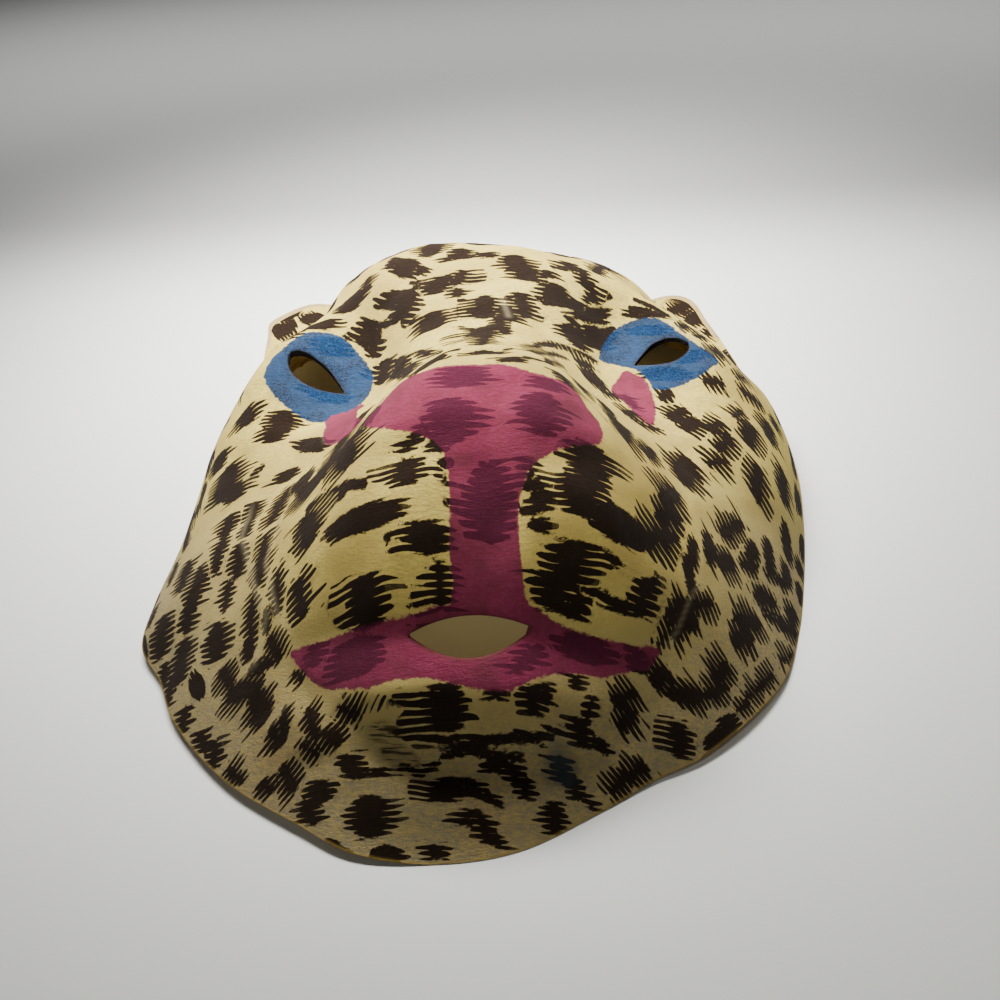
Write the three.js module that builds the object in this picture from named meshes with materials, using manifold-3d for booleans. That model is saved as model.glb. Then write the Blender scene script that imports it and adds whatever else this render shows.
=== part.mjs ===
// A big-cat face mask, moulded in one piece from thin plush felt and lying face up on its cut rim.
// Millimetres, +Z up. The chin points to -Y, the forehead to +Y, and the face's left side, as seen, is -X.
// The face is a height over the ground plan: a shell with steep walls, a raised middle that carries the
// forehead, bridge and muzzle, two flat tilted areas for the eyes, and small swells and folds on top.
// The felt is this surface with a constant thickness below it, and the holes are cut through it.

import * as THREE from "three";
import { mergeVertices } from "three/addons/utils/BufferGeometryUtils.js";
import Module from "manifold-3d";

// Driving sizes of the felt shell
const FELT = 2.2; // thickness of the moulded felt
const CHEEK_HEIGHT = 48; // the shell's height inside its walls
const RINGS = 27; // rings of triangles from the centre of the plan to the rim
const RIM_INSET_MOST = 1.4 * FELT; // widest that the cut edge gets where the flange is shallow

// The cut rim in plan, anticlockwise from the chin: x, y, and how far the edge lifts off the table
const RIM = [
  [-14, -124.5, 0], // chin
  [10, -121.2, 0],
  [34, -110.4, 0],
  [49.5, -102, 1],
  [64.5, -95.5, 2],
  [80, -84.5, 3],
  [94, -70.5, 2],
  [103, -53.5, 0],
  [109.5, -35, 0],
  [116.5, -9, 0],
  [122, 21, 0],
  [122, 44, 1],
  [118, 60, 2],
  [114.5, 76, 3],
  [112, 89, 4],
  [108.5, 104, 5],
  [105.5, 119, 5],
  [103, 130, 5],
  [101.5, 140, 5],
  [98.5, 148, 5],
  [93, 152, 5], // tip of the right ear
  [85.5, 152, 5],
  [76, 147.5, 5],
  [64, 139, 5],
  [51, 129.5, 4],
  [42, 124.8, 3],
  [35, 123, 1],
  [5, 125, 0], // middle of the forehead's edge
  [-30, 124, 0],
  [-38, 124.8, 2],
  [-48, 128.5, 5],
  [-62, 136.5, 8],
  [-75, 144, 9],
  [-86, 149.5, 10],
  [-98, 151.5, 10], // tip of the left ear
  [-106, 147.5, 10],
  [-113, 141, 10],
  [-117, 134, 10],
  [-115, 122, 10],
  [-113.5, 109, 9.5],
  [-112.5, 97, 8],
  [-110.5, 80, 5],
  [-114, 57, 2.5],
  [-121, 26, 0],
  [-122.5, -11, 0],
  [-123, -34, 1],
  [-120, -54, 3], // corner of the flared left flange
  [-109.5, -67, 3],
  [-99, -83, 3],
  [-78, -101.5, 3],
  [-53, -114.6, 3],
  [-36, -122.2, 2],
];

// The foot of the head's wall beside each ear, where the ear spreads out from it as a low flap
const RIGHT_EAR_FOOT = [
  [118, 60],
  [113, 74],
  [107, 86],
  [98, 97],
  [87, 107],
  [74, 115],
  [60, 119.5],
  [46, 122],
  [35, 123],
];
const LEFT_EAR_FOOT = [
  [-30, 124],
  [-46, 122.5],
  [-62, 119.5],
  [-74, 115],
  [-86, 107],
  [-96, 97],
  [-104, 86],
  [-110, 73],
  [-114, 57],
];
const EAR_START = 0.8; // share of the way to the rim where the rings begin to spread over the ears
const PLAN_CENTRE = { x: -2, y: 0 };

// Steepness of the shell's wall, by direction from the centre (0 is the right side, 90 the forehead):
// the exponent of a power curve, from a gentle flange under the chin to an upright wall beside the eyes
const WALLS = [
  [-180, 4.6],
  [-165, 3.2],
  [-140, 2.6],
  [-90, 1.7], // chin
  [-40, 2.6],
  [-15, 4],
  [0, 6],
  [20, 6.5], // right of the eye
  [40, 4.2],
  [60, 3.2],
  [90, 3.2], // forehead
  [120, 3.4],
  [135, 3.6],
  [146, 4.4],
  [160, 7.5], // left of the eye
  [180, 4.6],
];

// The raised middle of the face, from the chin to the forehead: y and height
const MIDDLE_HEIGHT = [
  [-123, 0], // chin rim
  [-115, 9],
  [-107, 16.5],
  [-102, 22], // crease under the lip
  [-97, 31],
  [-92, 37], // lower lip
  [-85, 41.5],
  [-79, 46.5], // mouth
  [-73, 53], // upper lip
  [-60, 67.5],
  [-44, 81], // under the nose
  [-34, 87.5],
  [-19, 90], // top of the nose
  [-8, 87],
  [6, 80], // bridge
  [20, 74.5],
  [35, 72.5], // between the eyes
  [55, 74.5],
  [75, 77], // forehead
  [90, 73.5],
  [103, 61],
  [115, 37],
  [122, 17],
  [126, 4],
];

// Half of the raised middle's width: y and half width
const MIDDLE_HALF = [
  [-125, 60],
  [-105, 56],
  [-88, 54],
  [-75, 56],
  [-60, 58], // muzzle
  [-44, 56],
  [-30, 51],
  [-19, 44.5],
  [-8, 39],
  [5, 35],
  [20, 34], // bridge
  [35, 38],
  [50, 51],
  [70, 66], // forehead
  [90, 66],
  [105, 62],
  [126, 58],
];

// The raised middle isn't quite straight: y, and how far it leans to the right
const MIDDLE_LEAN = [
  [-123, 0],
  [-60, 1],
  [-10, 3],
  [25, 1],
  [55, -2],
  [90, -4],
  [126, -4],
];
const MIDDLE_ROUNDING = 2.8; // exponent of the middle's side slopes: higher is boxier

// The flat areas round the eyes: centre, height there, and the slopes along x and y
const EYE_AREAS = [
  { x: -65, y: 36, height: 50, slopeX: -0.28, slopeY: 0.38, radius: 27 },
  { x: 66, y: 40, height: 49, slopeX: 0, slopeY: 0.16, radius: 26 },
];

// Rounded swells, and hollows where "by" is negative: centre, half widths, and turn in degrees
const SWELLS = [
  { x: -46, y: -2, by: 4.5, alongX: 15, alongY: 15, turn: 0 }, // beside the bridge
  { x: 33, y: -57, by: 3.2, alongX: 22, alongY: 17, turn: 0 }, // whisker pads
  { x: -29, y: -57, by: 3.2, alongX: 22, alongY: 17, turn: 0 },
  { x: 25, y: -45, by: -2.2, alongX: 9, alongY: 5, turn: 0 }, // nostrils
  { x: -17, y: -45, by: -2.2, alongX: 9, alongY: 5, turn: 0 },
  { x: 62, y: 66, by: 2.5, alongX: 26, alongY: 9, turn: 0 }, // right brow
  { x: -26, y: 93, by: 2.5, alongX: 14, alongY: 14, turn: 0 }, // shoulders of the forehead
  { x: 58, y: 88, by: 7.5, alongX: 18, alongY: 13, turn: 0 },
  { x: 22, y: 92, by: -2.2, alongX: 14, alongY: 12, turn: 0 },
  { x: -60, y: 90, by: 4, alongX: 14, alongY: 12, turn: 0 },
  { x: 87, y: 133, by: -1.6, alongX: 9, alongY: 11, turn: -20 }, // dished ears
  { x: -100, y: 128, by: -1.6, alongX: 10, alongY: 12, turn: 20 },
];

// Folds across the face: y at the middle, how fast they bend to +Y at the sides, height, half widths
const FOLDS = [
  { y: -78.5, bend: 0.0008, by: -2.2, width: 4, reach: 52 }, // line of the mouth
  { y: -89, bend: 0, by: 1.2, width: 5, reach: 42 }, // lower lip
  { y: -104, bend: 0.0065, by: -3, width: 5.5, reach: 52 }, // crease under the lip
];
const PHILTRUM = { x: 4, by: -2, width: 8, from: -80, deepFrom: -72, deepTo: -52, to: -42 };

// The holes: centre, length, rise of each lid, turn in plan, and lean of the cut from upright
const HOLES = [
  { x: -64, y: 35.5, length: 24, up: 6.4, down: 4.6, turn: 150, lean: 0, round: 0.55 },
  { x: 65.5, y: 40, length: 24, up: 5.6, down: 5.2, turn: 27, lean: 0, round: 0.55 },
  { x: -1.5, y: -80.5, length: 35, up: 4.6, down: 7, turn: 1.5, lean: 44, round: 1 },
];
const HOLE_SIDE_STEPS = 10;
const CUT_DEPTH = 120;
const CUT_RISE = 46; // height over the table of the middle of each cut

// A smooth curve through a table's rows that doesn't overshoot between them
function smoothTable(rows) {
  const at = rows.map((row) => row[0]);
  const value = rows.map((row) => row[1]);
  const rise = at.slice(1).map((x, i) => (value[i + 1] - value[i]) / (x - at[i]));
  const slope = value.map((_, i) => {
    if (i === 0) return rise[0];
    if (i === rise.length) return rise[i - 1];
    if (rise[i - 1] * rise[i] <= 0) return 0;
    return (2 * rise[i - 1] * rise[i]) / (rise[i - 1] + rise[i]);
  });
  return (x) => {
    let i = 0;
    while (i < rise.length - 1 && x > at[i + 1]) i += 1;
    const span = at[i + 1] - at[i];
    const t = THREE.MathUtils.clamp((x - at[i]) / span, 0, 1);
    const s = 1 - t;
    return (
      value[i] * s * s * (1 + 2 * t) +
      slope[i] * span * s * s * t +
      value[i + 1] * t * t * (1 + 2 * s) -
      slope[i + 1] * span * t * t * s
    );
  };
}

// The rim's rows with the foot of the head's wall in place of the ears
function headOutline() {
  const outline = RIM.map(([x, y]) => [x, y]);
  for (const foot of [RIGHT_EAR_FOOT, LEFT_EAR_FOOT]) {
    const rowOf = ([x, y]) => outline.findIndex((row) => row[0] === x && row[1] === y);
    const first = rowOf(foot[0]);
    const last = rowOf(foot[foot.length - 1]);
    outline.splice(first, last - first + 1, ...foot);
  }
  return outline;
}

// An outline as radius and lift over the direction from the plan's centre
function byDirection(rows) {
  const corners = rows.map(([x, y, lift = 0]) => new THREE.Vector3(x, y, lift));
  const curve = new THREE.CatmullRomCurve3(corners, true, "catmullrom", 0.5);
  const points = curve.getPoints(rows.length * 12);
  const samples = points.slice(1).map((p) => {
    const dx = p.x - PLAN_CENTRE.x;
    const dy = p.y - PLAN_CENTRE.y;
    return { angle: Math.atan2(dy, dx), radius: Math.hypot(dx, dy), lift: Math.max(p.z, 0) };
  });
  samples.sort((a, b) => a.angle - b.angle);
  const first = samples[0];
  const last = samples[samples.length - 1];
  samples.unshift({ ...last, angle: last.angle - 2 * Math.PI });
  samples.push({ ...first, angle: first.angle + 2 * Math.PI });
  return (angle) => {
    let low = 0;
    let high = samples.length - 1;
    while (high - low > 1) {
      const middle = (low + high) >> 1;
      if (samples[middle].angle > angle) high = middle;
      else low = middle;
    }
    const a = samples[low];
    const b = samples[high];
    const t = (angle - a.angle) / (b.angle - a.angle);
    return {
      radius: THREE.MathUtils.lerp(a.radius, b.radius, t),
      lift: THREE.MathUtils.lerp(a.lift, b.lift, t),
    };
  };
}

const rimAt = byDirection(RIM);
const headAt = byDirection(headOutline());
const wallPower = smoothTable(WALLS);
const middleHeight = smoothTable(MIDDLE_HEIGHT);
const middleHalf = smoothTable(MIDDLE_HALF);
const middleLean = smoothTable(MIDDLE_LEAN);

// Where a plan point lies between the centre (0) and the foot of the head's wall (1), with the
// lift of the rim in that direction and the shell's height at the point
function shellAt(x, y) {
  const angle = Math.atan2(y - PLAN_CENTRE.y, x - PLAN_CENTRE.x);
  const reach = Math.hypot(x - PLAN_CENTRE.x, y - PLAN_CENTRE.y);
  const share = Math.min(reach / headAt(angle).radius, 1);
  const power = wallPower(THREE.MathUtils.radToDeg(angle));
  return { share, lift: rimAt(angle).lift, height: CHEEK_HEIGHT * (1 - share ** power) };
}

// Height that one swell adds at a plan point
function swellHeight(swell, x, y) {
  const turn = THREE.MathUtils.degToRad(swell.turn);
  const dx = x - swell.x;
  const dy = y - swell.y;
  const u = (dx * Math.cos(turn) + dy * Math.sin(turn)) / swell.alongX;
  const v = (dy * Math.cos(turn) - dx * Math.sin(turn)) / swell.alongY;
  return swell.by * Math.exp(-u * u - v * v);
}

// Height that one fold adds at a plan point
function foldHeight(fold, x, y) {
  const across = (y - fold.y - fold.bend * x * x) / fold.width;
  return fold.by * Math.exp(-across * across - (x / fold.reach) ** 6);
}

// The groove from the nose down to the mouth
function philtrumHeight(x, y) {
  const begin = THREE.MathUtils.smoothstep(y, PHILTRUM.from, PHILTRUM.deepFrom);
  const end = 1 - THREE.MathUtils.smoothstep(y, PHILTRUM.deepTo, PHILTRUM.to);
  return PHILTRUM.by * begin * end * Math.exp(-(((x - PHILTRUM.x) / PHILTRUM.width) ** 2));
}

// Height of the face over the table at a plan point
function faceHeight(x, y) {
  const shell = shellAt(x, y);
  const onMiddle = shellAt(PLAN_CENTRE.x, y).height;
  const aside = Math.abs(x - middleLean(y)) / middleHalf(y);
  const raised = (middleHeight(y) - onMiddle) * Math.exp(-(aside ** MIDDLE_ROUNDING));
  let height = shell.height + raised * (1 - shell.share ** 8);
  for (const eye of EYE_AREAS) {
    const away = Math.hypot(x - eye.x, y - eye.y) / eye.radius;
    const weight = Math.exp(-(away ** 4)) * (1 - shell.share ** 10);
    const plane = eye.height + eye.slopeX * (x - eye.x) + eye.slopeY * (y - eye.y);
    height += (plane - height) * weight;
  }
  for (const swell of SWELLS) height += swellHeight(swell, x, y);
  for (const fold of FOLDS) height += foldHeight(fold, x, y);
  return height + philtrumHeight(x, y) + shell.lift * shell.share ** 3;
}

// Outward direction of the face's surface at a plan point, from the slopes just inside it
function faceNormal(x, y) {
  const step = 0.5;
  const inX = x + (PLAN_CENTRE.x - x) * 0.01;
  const inY = y + (PLAN_CENTRE.y - y) * 0.01;
  const slopeX = (faceHeight(inX + step, inY) - faceHeight(inX - step, inY)) / (2 * step);
  const slopeY = (faceHeight(inX, inY + step) - faceHeight(inX, inY - step)) / (2 * step);
  return new THREE.Vector3(-slopeX, -slopeY, 1).normalize();
}

// Plan points in rings round the centre: ring k has 6k points, so all triangles have about one size
function planPoints() {
  const points = [{ x: PLAN_CENTRE.x, y: PLAN_CENTRE.y, share: 0, angle: 0 }];
  for (let ring = 1; ring <= RINGS; ring += 1) {
    for (let i = 0; i < 6 * ring; i += 1) {
      const turn = (2 * Math.PI * i) / (6 * ring);
      const angle = turn > Math.PI ? turn - 2 * Math.PI : turn;
      const share = ring / RINGS;
      const spread = Math.max((share - EAR_START) / (1 - EAR_START), 0) ** 2;
      const head = headAt(angle).radius;
      const reach = head * share + (rimAt(angle).radius - head) * spread;
      points.push({
        x: PLAN_CENTRE.x + reach * Math.cos(angle),
        y: PLAN_CENTRE.y + reach * Math.sin(angle),
        share,
        angle,
      });
    }
  }
  return points;
}

const ringStart = (ring) => (ring === 0 ? 0 : 1 + 3 * ring * (ring - 1));
const ringPoint = (ring, i) => ringStart(ring) + (ring === 0 ? 0 : i % (6 * ring));

// Triangles between the rings, anticlockwise from above
function planTriangles() {
  const triangles = [];
  for (let ring = 1; ring <= RINGS; ring += 1) {
    for (let sector = 0; sector < 6; sector += 1) {
      for (let i = 0; i < ring; i += 1) {
        const outer = sector * ring + i;
        const inner = sector * (ring - 1) + i;
        triangles.push([
          ringPoint(ring, outer),
          ringPoint(ring, outer + 1),
          ringPoint(ring - 1, inner),
        ]);
        if (i < ring - 1) {
          triangles.push([
            ringPoint(ring, outer + 1),
            ringPoint(ring - 1, inner + 1),
            ringPoint(ring - 1, inner),
          ]);
        }
      }
    }
  }
  return triangles;
}

// The point of the felt's inside under a point of the face. At the rim it stays level with the edge.
function insidePoint(point, height) {
  const normal = faceNormal(point.x, point.y);
  if (point.share < 1) {
    return [
      point.x - FELT * normal.x,
      point.y - FELT * normal.y,
      height - FELT * normal.z,
    ];
  }
  const sideways = Math.hypot(normal.x, normal.y);
  const inset = Math.min(FELT / Math.max(sideways, 0.01), RIM_INSET_MOST);
  const reach = Math.hypot(point.x - PLAN_CENTRE.x, point.y - PLAN_CENTRE.y);
  const kept = 1 - inset / reach;
  return [
    PLAN_CENTRE.x + kept * (point.x - PLAN_CENTRE.x),
    PLAN_CENTRE.y + kept * (point.y - PLAN_CENTRE.y),
    height,
  ];
}

// The closed felt shell before its holes are cut
function shellGeometry() {
  const points = planPoints();
  const count = points.length;
  const outside = points.map((p) => [p.x, p.y, faceHeight(p.x, p.y)]);
  const inside = points.map((p, i) => insidePoint(p, outside[i][2]));
  const triangles = [];
  for (const [a, b, c] of planTriangles()) {
    triangles.push(a, b, c);
    triangles.push(a + count, c + count, b + count);
  }
  for (let i = 0; i < 6 * RINGS; i += 1) {
    const a = ringPoint(RINGS, i);
    const b = ringPoint(RINGS, i + 1);
    triangles.push(a, a + count, b);
    triangles.push(b, a + count, b + count);
  }
  const geometry = new THREE.BufferGeometry();
  const positions = new Float32Array([...outside, ...inside].flat());
  geometry.setAttribute("position", new THREE.BufferAttribute(positions, 3));
  geometry.setIndex(triangles);
  return geometry;
}

// A prism with the outline of one hole: two lids that meet in a sharp corner at one end
// and, for an eye, in a rounder one at the other
function holeGeometry(hole) {
  const lid = (q) => (1 + q) * (1 - q) ** hole.round;
  const peakAt = (1 - hole.round) / (1 + hole.round);
  const side = (rise) => {
    const points = [];
    for (let i = 0; i < HOLE_SIDE_STEPS; i += 1) {
      const q = -Math.cos((Math.PI * i) / HOLE_SIDE_STEPS);
      points.push(new THREE.Vector2((hole.length / 2) * q, (rise * lid(q)) / lid(peakAt)));
    }
    return points;
  };
  const upper = side(hole.up);
  const lower = side(-hole.down).slice(1).reverse();
  const tip = new THREE.Vector2(hole.length / 2, 0);
  const outline = new THREE.Shape([...upper, tip, ...lower]);
  const prism = new THREE.ExtrudeGeometry(outline, { depth: CUT_DEPTH, bevelEnabled: false });
  prism.translate(0, 0, -CUT_DEPTH / 2);
  prism.rotateZ(THREE.MathUtils.degToRad(hole.turn));
  prism.rotateX(THREE.MathUtils.degToRad(hole.lean));
  prism.translate(hole.x, hole.y, CUT_RISE);
  return prism;
}

const wasm = await Module();
wasm.setup();

function solidOf(geometry) {
  const bare = geometry.clone();
  bare.deleteAttribute("normal");
  bare.deleteAttribute("uv");
  const merged = mergeVertices(bare, 1e-4);
  return new wasm.Manifold(
    new wasm.Mesh({
      numProp: 3,
      vertProperties: merged.attributes.position.array,
      triVerts: new Uint32Array(merged.index.array),
    }),
  );
}

function geometryOf(solid) {
  const mesh = solid.getMesh();
  const geometry = new THREE.BufferGeometry();
  geometry.setAttribute("position", new THREE.BufferAttribute(mesh.vertProperties, 3));
  geometry.setIndex(new THREE.BufferAttribute(mesh.triVerts, 1));
  geometry.computeVertexNormals();
  return geometry;
}

// The mask: the shell with its two eye holes and its mouth hole, centred over its footprint
function maskMesh() {
  let solid = solidOf(shellGeometry());
  for (const hole of HOLES) solid = solid.subtract(solidOf(holeGeometry(hole)));
  const geometry = geometryOf(solid);
  geometry.computeBoundingBox();
  const box = geometry.boundingBox;
  geometry.translate(-(box.min.x + box.max.x) / 2, -(box.min.y + box.max.y) / 2, -box.min.z);
  const printedPlush = new THREE.MeshStandardMaterial({
    color: 0xd9cb98,
    roughness: 0.95,
    metalness: 0,
    name: "printed_plush",
  });
  const mesh = new THREE.Mesh(geometry, printedPlush);
  mesh.name = "mask_shell";
  return mesh;
}

const mask = new THREE.Group();
mask.add(maskMesh());

export default mask;
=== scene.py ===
import bpy
import numpy as np
from mathutils import Matrix


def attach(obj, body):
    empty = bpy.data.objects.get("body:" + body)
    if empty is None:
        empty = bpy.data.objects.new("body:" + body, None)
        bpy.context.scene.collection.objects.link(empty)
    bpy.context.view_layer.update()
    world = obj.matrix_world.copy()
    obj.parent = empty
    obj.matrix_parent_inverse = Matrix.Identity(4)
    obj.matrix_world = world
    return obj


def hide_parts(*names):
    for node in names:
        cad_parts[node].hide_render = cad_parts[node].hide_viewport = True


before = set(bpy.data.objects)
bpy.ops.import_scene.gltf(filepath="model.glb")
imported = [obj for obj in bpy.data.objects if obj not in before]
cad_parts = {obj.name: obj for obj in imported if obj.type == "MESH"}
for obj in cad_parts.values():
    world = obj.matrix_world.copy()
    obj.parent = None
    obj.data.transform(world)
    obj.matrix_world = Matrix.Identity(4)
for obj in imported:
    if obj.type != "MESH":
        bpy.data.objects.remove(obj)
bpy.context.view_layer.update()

MM = 0.001  # metres in a millimetre

# Sizes are millimetres unless a comment says metres. In the face's plan X goes to the right as
# seen, Y to the forehead, and Z up out of the face.

# Driving sizes of the felt shell
FELT = 2.2  # thickness of the moulded felt
CHEEK_HEIGHT = 48  # height of the plain dome under the raised middle
RIM_INSET_MOST = 1.4 * FELT  # widest that the cut edge gets where the flange is shallow
FACE_RINGS = 160  # rings of triangles on the printed side
BACK_RINGS = 80  # rings on the plain inside
BACK_REACH = 0.987  # draws the inside's rings in a little from the cut rim
PLAN_CENTRE = (-2.0, 0.0)  # where the rings of triangles start
CENTRING_RINGS = 27  # rings of the solid's plan, whose box is put in the middle

# The cut rim, anticlockwise from the chin: x, y, and how far the edge lifts off the table
RIM = [
    (-14, -124.5, 0), (10, -121.2, 0), (34, -110.4, 0), (49.5, -102, 1), (64.5, -95.5, 2),
    (80, -84.5, 3), (94, -70.5, 2), (103, -53.5, 0), (109.5, -35, 0), (116.5, -9, 0), (122, 21, 0),
    (122, 44, 1), (118, 60, 2), (114.5, 76, 3), (112, 89, 4), (108.5, 104, 5), (105.5, 119, 5),
    (103, 130, 5), (101.5, 140, 5), (98.5, 148, 5), (93, 152, 5), (85.5, 152, 5), (76, 147.5, 5),
    (64, 139, 5), (51, 129.5, 4), (42, 124.8, 3), (35, 123, 1), (5, 125, 0), (-30, 124, 0),
    (-38, 124.8, 2), (-48, 128.5, 5), (-62, 136.5, 8), (-75, 144, 9), (-86, 149.5, 10),
    (-98, 151.5, 10), (-106, 147.5, 10), (-113, 141, 10), (-117, 134, 10), (-115, 122, 10),
    (-113.5, 109, 9.5), (-112.5, 97, 8), (-110.5, 80, 5), (-114, 57, 2.5), (-121, 26, 0),
    (-122.5, -11, 0), (-123, -34, 1), (-120, -54, 3), (-109.5, -67, 3), (-99, -83, 3),
    (-78, -101.5, 3), (-53, -114.6, 3), (-36, -122.2, 2),
]
# The foot of the head's wall beside each ear, where the ear spreads out from it as a low flap
RIGHT_EAR_FOOT = [
    (118, 60), (113, 74), (107, 86), (98, 97), (87, 107), (74, 115), (60, 119.5), (46, 122),
    (35, 123),
]
LEFT_EAR_FOOT = [
    (-30, 124), (-46, 122.5), (-62, 119.5), (-74, 115), (-86, 107), (-96, 97), (-104, 86),
    (-110, 73), (-114, 57),
]
EAR_START = 0.8  # share of the way to the rim where the rings begin to spread over the ears
RIM_STEPS = 12  # points of the smooth rim curve between two rows

# Steepness of the shell's wall, by direction in degrees (0 is the right side, 90 the forehead)
WALLS = [
    (-180, 4.6), (-165, 3.2), (-140, 2.6), (-90, 1.7), (-40, 2.6), (-15, 4), (0, 6), (20, 6.5),
    (40, 4.2), (60, 3.2), (90, 3.2), (120, 3.4), (135, 3.6), (146, 4.4), (160, 7.5), (180, 4.6),
]
# The raised middle of the face, from the chin to the forehead: y and height, half width, lean
MIDDLE_HEIGHT = [
    (-123, 0), (-115, 9), (-107, 16.5), (-102, 22), (-97, 31), (-92, 37), (-85, 41.5),
    (-79, 46.5), (-73, 53), (-60, 67.5), (-44, 81), (-34, 87.5), (-19, 90), (-8, 87), (6, 80),
    (20, 74.5), (35, 72.5), (55, 74.5), (75, 77), (90, 73.5), (103, 61), (115, 37), (122, 17),
    (126, 4),
]
MIDDLE_HALF = [
    (-125, 60), (-105, 56), (-88, 54), (-75, 56), (-60, 58), (-44, 56), (-30, 51), (-19, 44.5),
    (-8, 39), (5, 35), (20, 34), (35, 38), (50, 51), (70, 66), (90, 66), (105, 62), (126, 58),
]
MIDDLE_LEAN = [(-123, 0), (-60, 1), (-10, 3), (25, 1), (55, -2), (90, -4), (126, -4)]
MIDDLE_ROUNDING = 2.8
# The flat areas round the eyes: x, y, height there, slopes along x and y, radius
EYE_AREAS = [(-65, 36, 50, -0.28, 0.38, 27), (66, 40, 49, 0, 0.16, 26)]
# Swells, and hollows where the height is negative: x, y, height, half widths, turn
SWELLS = [
    (-46, -2, 4.5, 15, 15, 0), (33, -57, 3.2, 22, 17, 0), (-29, -57, 3.2, 22, 17, 0),
    (25, -45, -2.2, 9, 5, 0), (-17, -45, -2.2, 9, 5, 0), (62, 66, 2.5, 26, 9, 0),
    (-26, 93, 2.5, 14, 14, 0), (58, 88, 7.5, 18, 13, 0), (22, 92, -2.2, 14, 12, 0),
    (-60, 90, 4, 14, 12, 0), (87, 133, -1.6, 9, 11, -20), (-100, 128, -1.6, 10, 12, 20),
]
# Folds across the face: y, bend, height, half width, reach to the sides
FOLDS = [(-78.5, 0.0008, -2.2, 4, 52), (-89, 0, 1.2, 5, 42), (-104, 0.0065, -3, 5.5, 52)]
PHILTRUM = {"x": 4, "by": -2, "width": 8, "start": -80, "deep_start": -72, "deep_end": -52,
            "end": -42}
# The holes: x, y, length, rise of each lid, turn, lean of the cut from upright, roundness
HOLES = [
    {"x": -64, "y": 35.5, "length": 24, "up": 6.4, "down": 4.6, "turn": 150, "lean": 0,
     "round": 0.55},
    {"x": 65.5, "y": 40, "length": 24, "up": 5.6, "down": 5.2, "turn": 27, "lean": 0,
     "round": 0.55},
    {"x": -1.5, "y": -80.5, "length": 35, "up": 4.6, "down": 7, "turn": 1.5, "lean": 44,
     "round": 1},
]
CUT_RISE = 46  # height that the holes' cuts turn about
HOLE_ROLL = 0.45  # how far the felt rolls down at a hole's edge, and how wide the roll is
HOLE_ROLL_WIDTH = 0.7
# Cutting a hole out: points this near its outline are moved onto it, by this much at most
# each time, and count as on it when this close
SNAP_WITHIN = 0.22
SNAP_MOVE_MOST = 0.3
SNAP_ROUNDS = 4
ON_OUTLINE = 0.03
BORDER_WITHIN = 1.0
SLOPE_STEP = 0.05

# Creases and stretched ridges that the moulding left: height, half width, route
CREASES = [
    (-0.9, 1.3, [(-22, -13), (-9, -11.5), (5, -9), (15, -2), (26, 18), (41, 34)]),
    (0.7, 1.2, [(-18, -9), (-6, -7.5), (6, -5), (14, 3), (23, 20), (36, 36)]),
    (-0.5, 1.0, [(-12, -4), (4, -1), (12, 8), (18, 22)]),
    (-0.8, 1.4, [(32, 25), (41, 30), (49, 24.5), (58, 1), (70, -5)]),
    (0.9, 1.5, [(36, -10), (44, -19), (55, -18), (66, -30), (69, -43), (65, -59), (53, -76)]),
    (-0.7, 1.3, [(30, -8), (39, -22), (50, -28), (60, -36), (64, -48)]),
    (0.9, 1.6, [(-34, -22), (-47, -24), (-69, -22), (-74, -35), (-67, -58), (-60, -68)]),
    (-0.8, 1.3, [(-56, -27), (-65, -34), (-62, -52), (-57, -64), (-55, -75)]),
    (0.9, 1.4, [(-79, -17), (-79, -35), (-70, -55), (-64, -66), (-68, -76), (-76, -79)]),
    (0.8, 1.2, [(-60, -70), (-53, -78), (-46.5, -84), (-44.5, -88)]),
    (-0.7, 1.1, [(-56, -79), (-50, -86), (-47, -93)]),
    (0.6, 1.0, [(-70, -92), (-58, -88), (-52, -82)]),
    (0.7, 1.1, [(-30, -98), (-17, -99.6), (-6, -99.5), (5, -99.6), (22, -96.8)]),
    (-0.6, 1.0, [(-26, -101), (-14, -102.5), (-3, -101), (9, -101.5), (20, -100)]),
    (0.5, 0.9, [(-16, -104), (-3, -103), (8, -103.5)]),
    (0.5, 1.2, [(21, -108), (20, -103.4), (17, -101.5)]),
    (0.7, 1.4, [(60, 60), (70, 57), (77, 49), (86, 41)]),
    (-0.6, 1.5, [(66, 63), (76, 58), (83, 48), (90, 42)]),
    (0.6, 2.0, [(78, -72), (90, -67), (97, -58)]),
    (-0.5, 1.5, [(57, -64), (52, -71), (47, -76)]),
]
CREASE_SHARE = 0.42  # how much of those heights is left in the felt as it lies
# Faint ripples all over: wave length, height, turn
RIPPLES = [(31, 0.28, 20), (23, 0.22, 95), (14, 0.14, 150), (9, 0.07, 60)]
RIPPLE_CENTRE = (5, -8)

# Outlines of the paint on the print
LEFT_RING = [
    (-83, 32), (-81.5, 38), (-78, 43), (-74, 48), (-70, 52), (-63, 53.5), (-56, 51.5),
    (-51, 47), (-46, 41), (-43, 35), (-43, 31), (-45, 26), (-48, 22.5), (-57, 17),
    (-58.5, 14), (-64, 14.5), (-69, 17), (-76, 22), (-80, 26),
]
RIGHT_RING = [
    (42, 36.5), (45, 45), (50, 52), (56, 56), (62, 57.5), (68, 56.5), (73, 51), (78, 45.5),
    (86, 36.5), (82.5, 32), (75, 26), (67, 22), (61, 21.5), (59, 27), (55, 31.5), (48, 34.5),
    (43, 34.7),
]
LEFT_TEAR = [
    (-47, 23), (-57.5, 17), (-58.5, 13), (-56, 6), (-55, 0), (-54, -5), (-50, -10),
    (-40, -12), (-38, -8), (-42, 0), (-44, 10), (-45, 20),
]
RIGHT_TEAR = [
    (51, 31), (55, 29), (58.5, 26), (60, 18), (60, 10), (58, 1), (55.5, 0.5), (52, 5),
    (48, 12), (45, 18), (47, 24),
]
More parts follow.
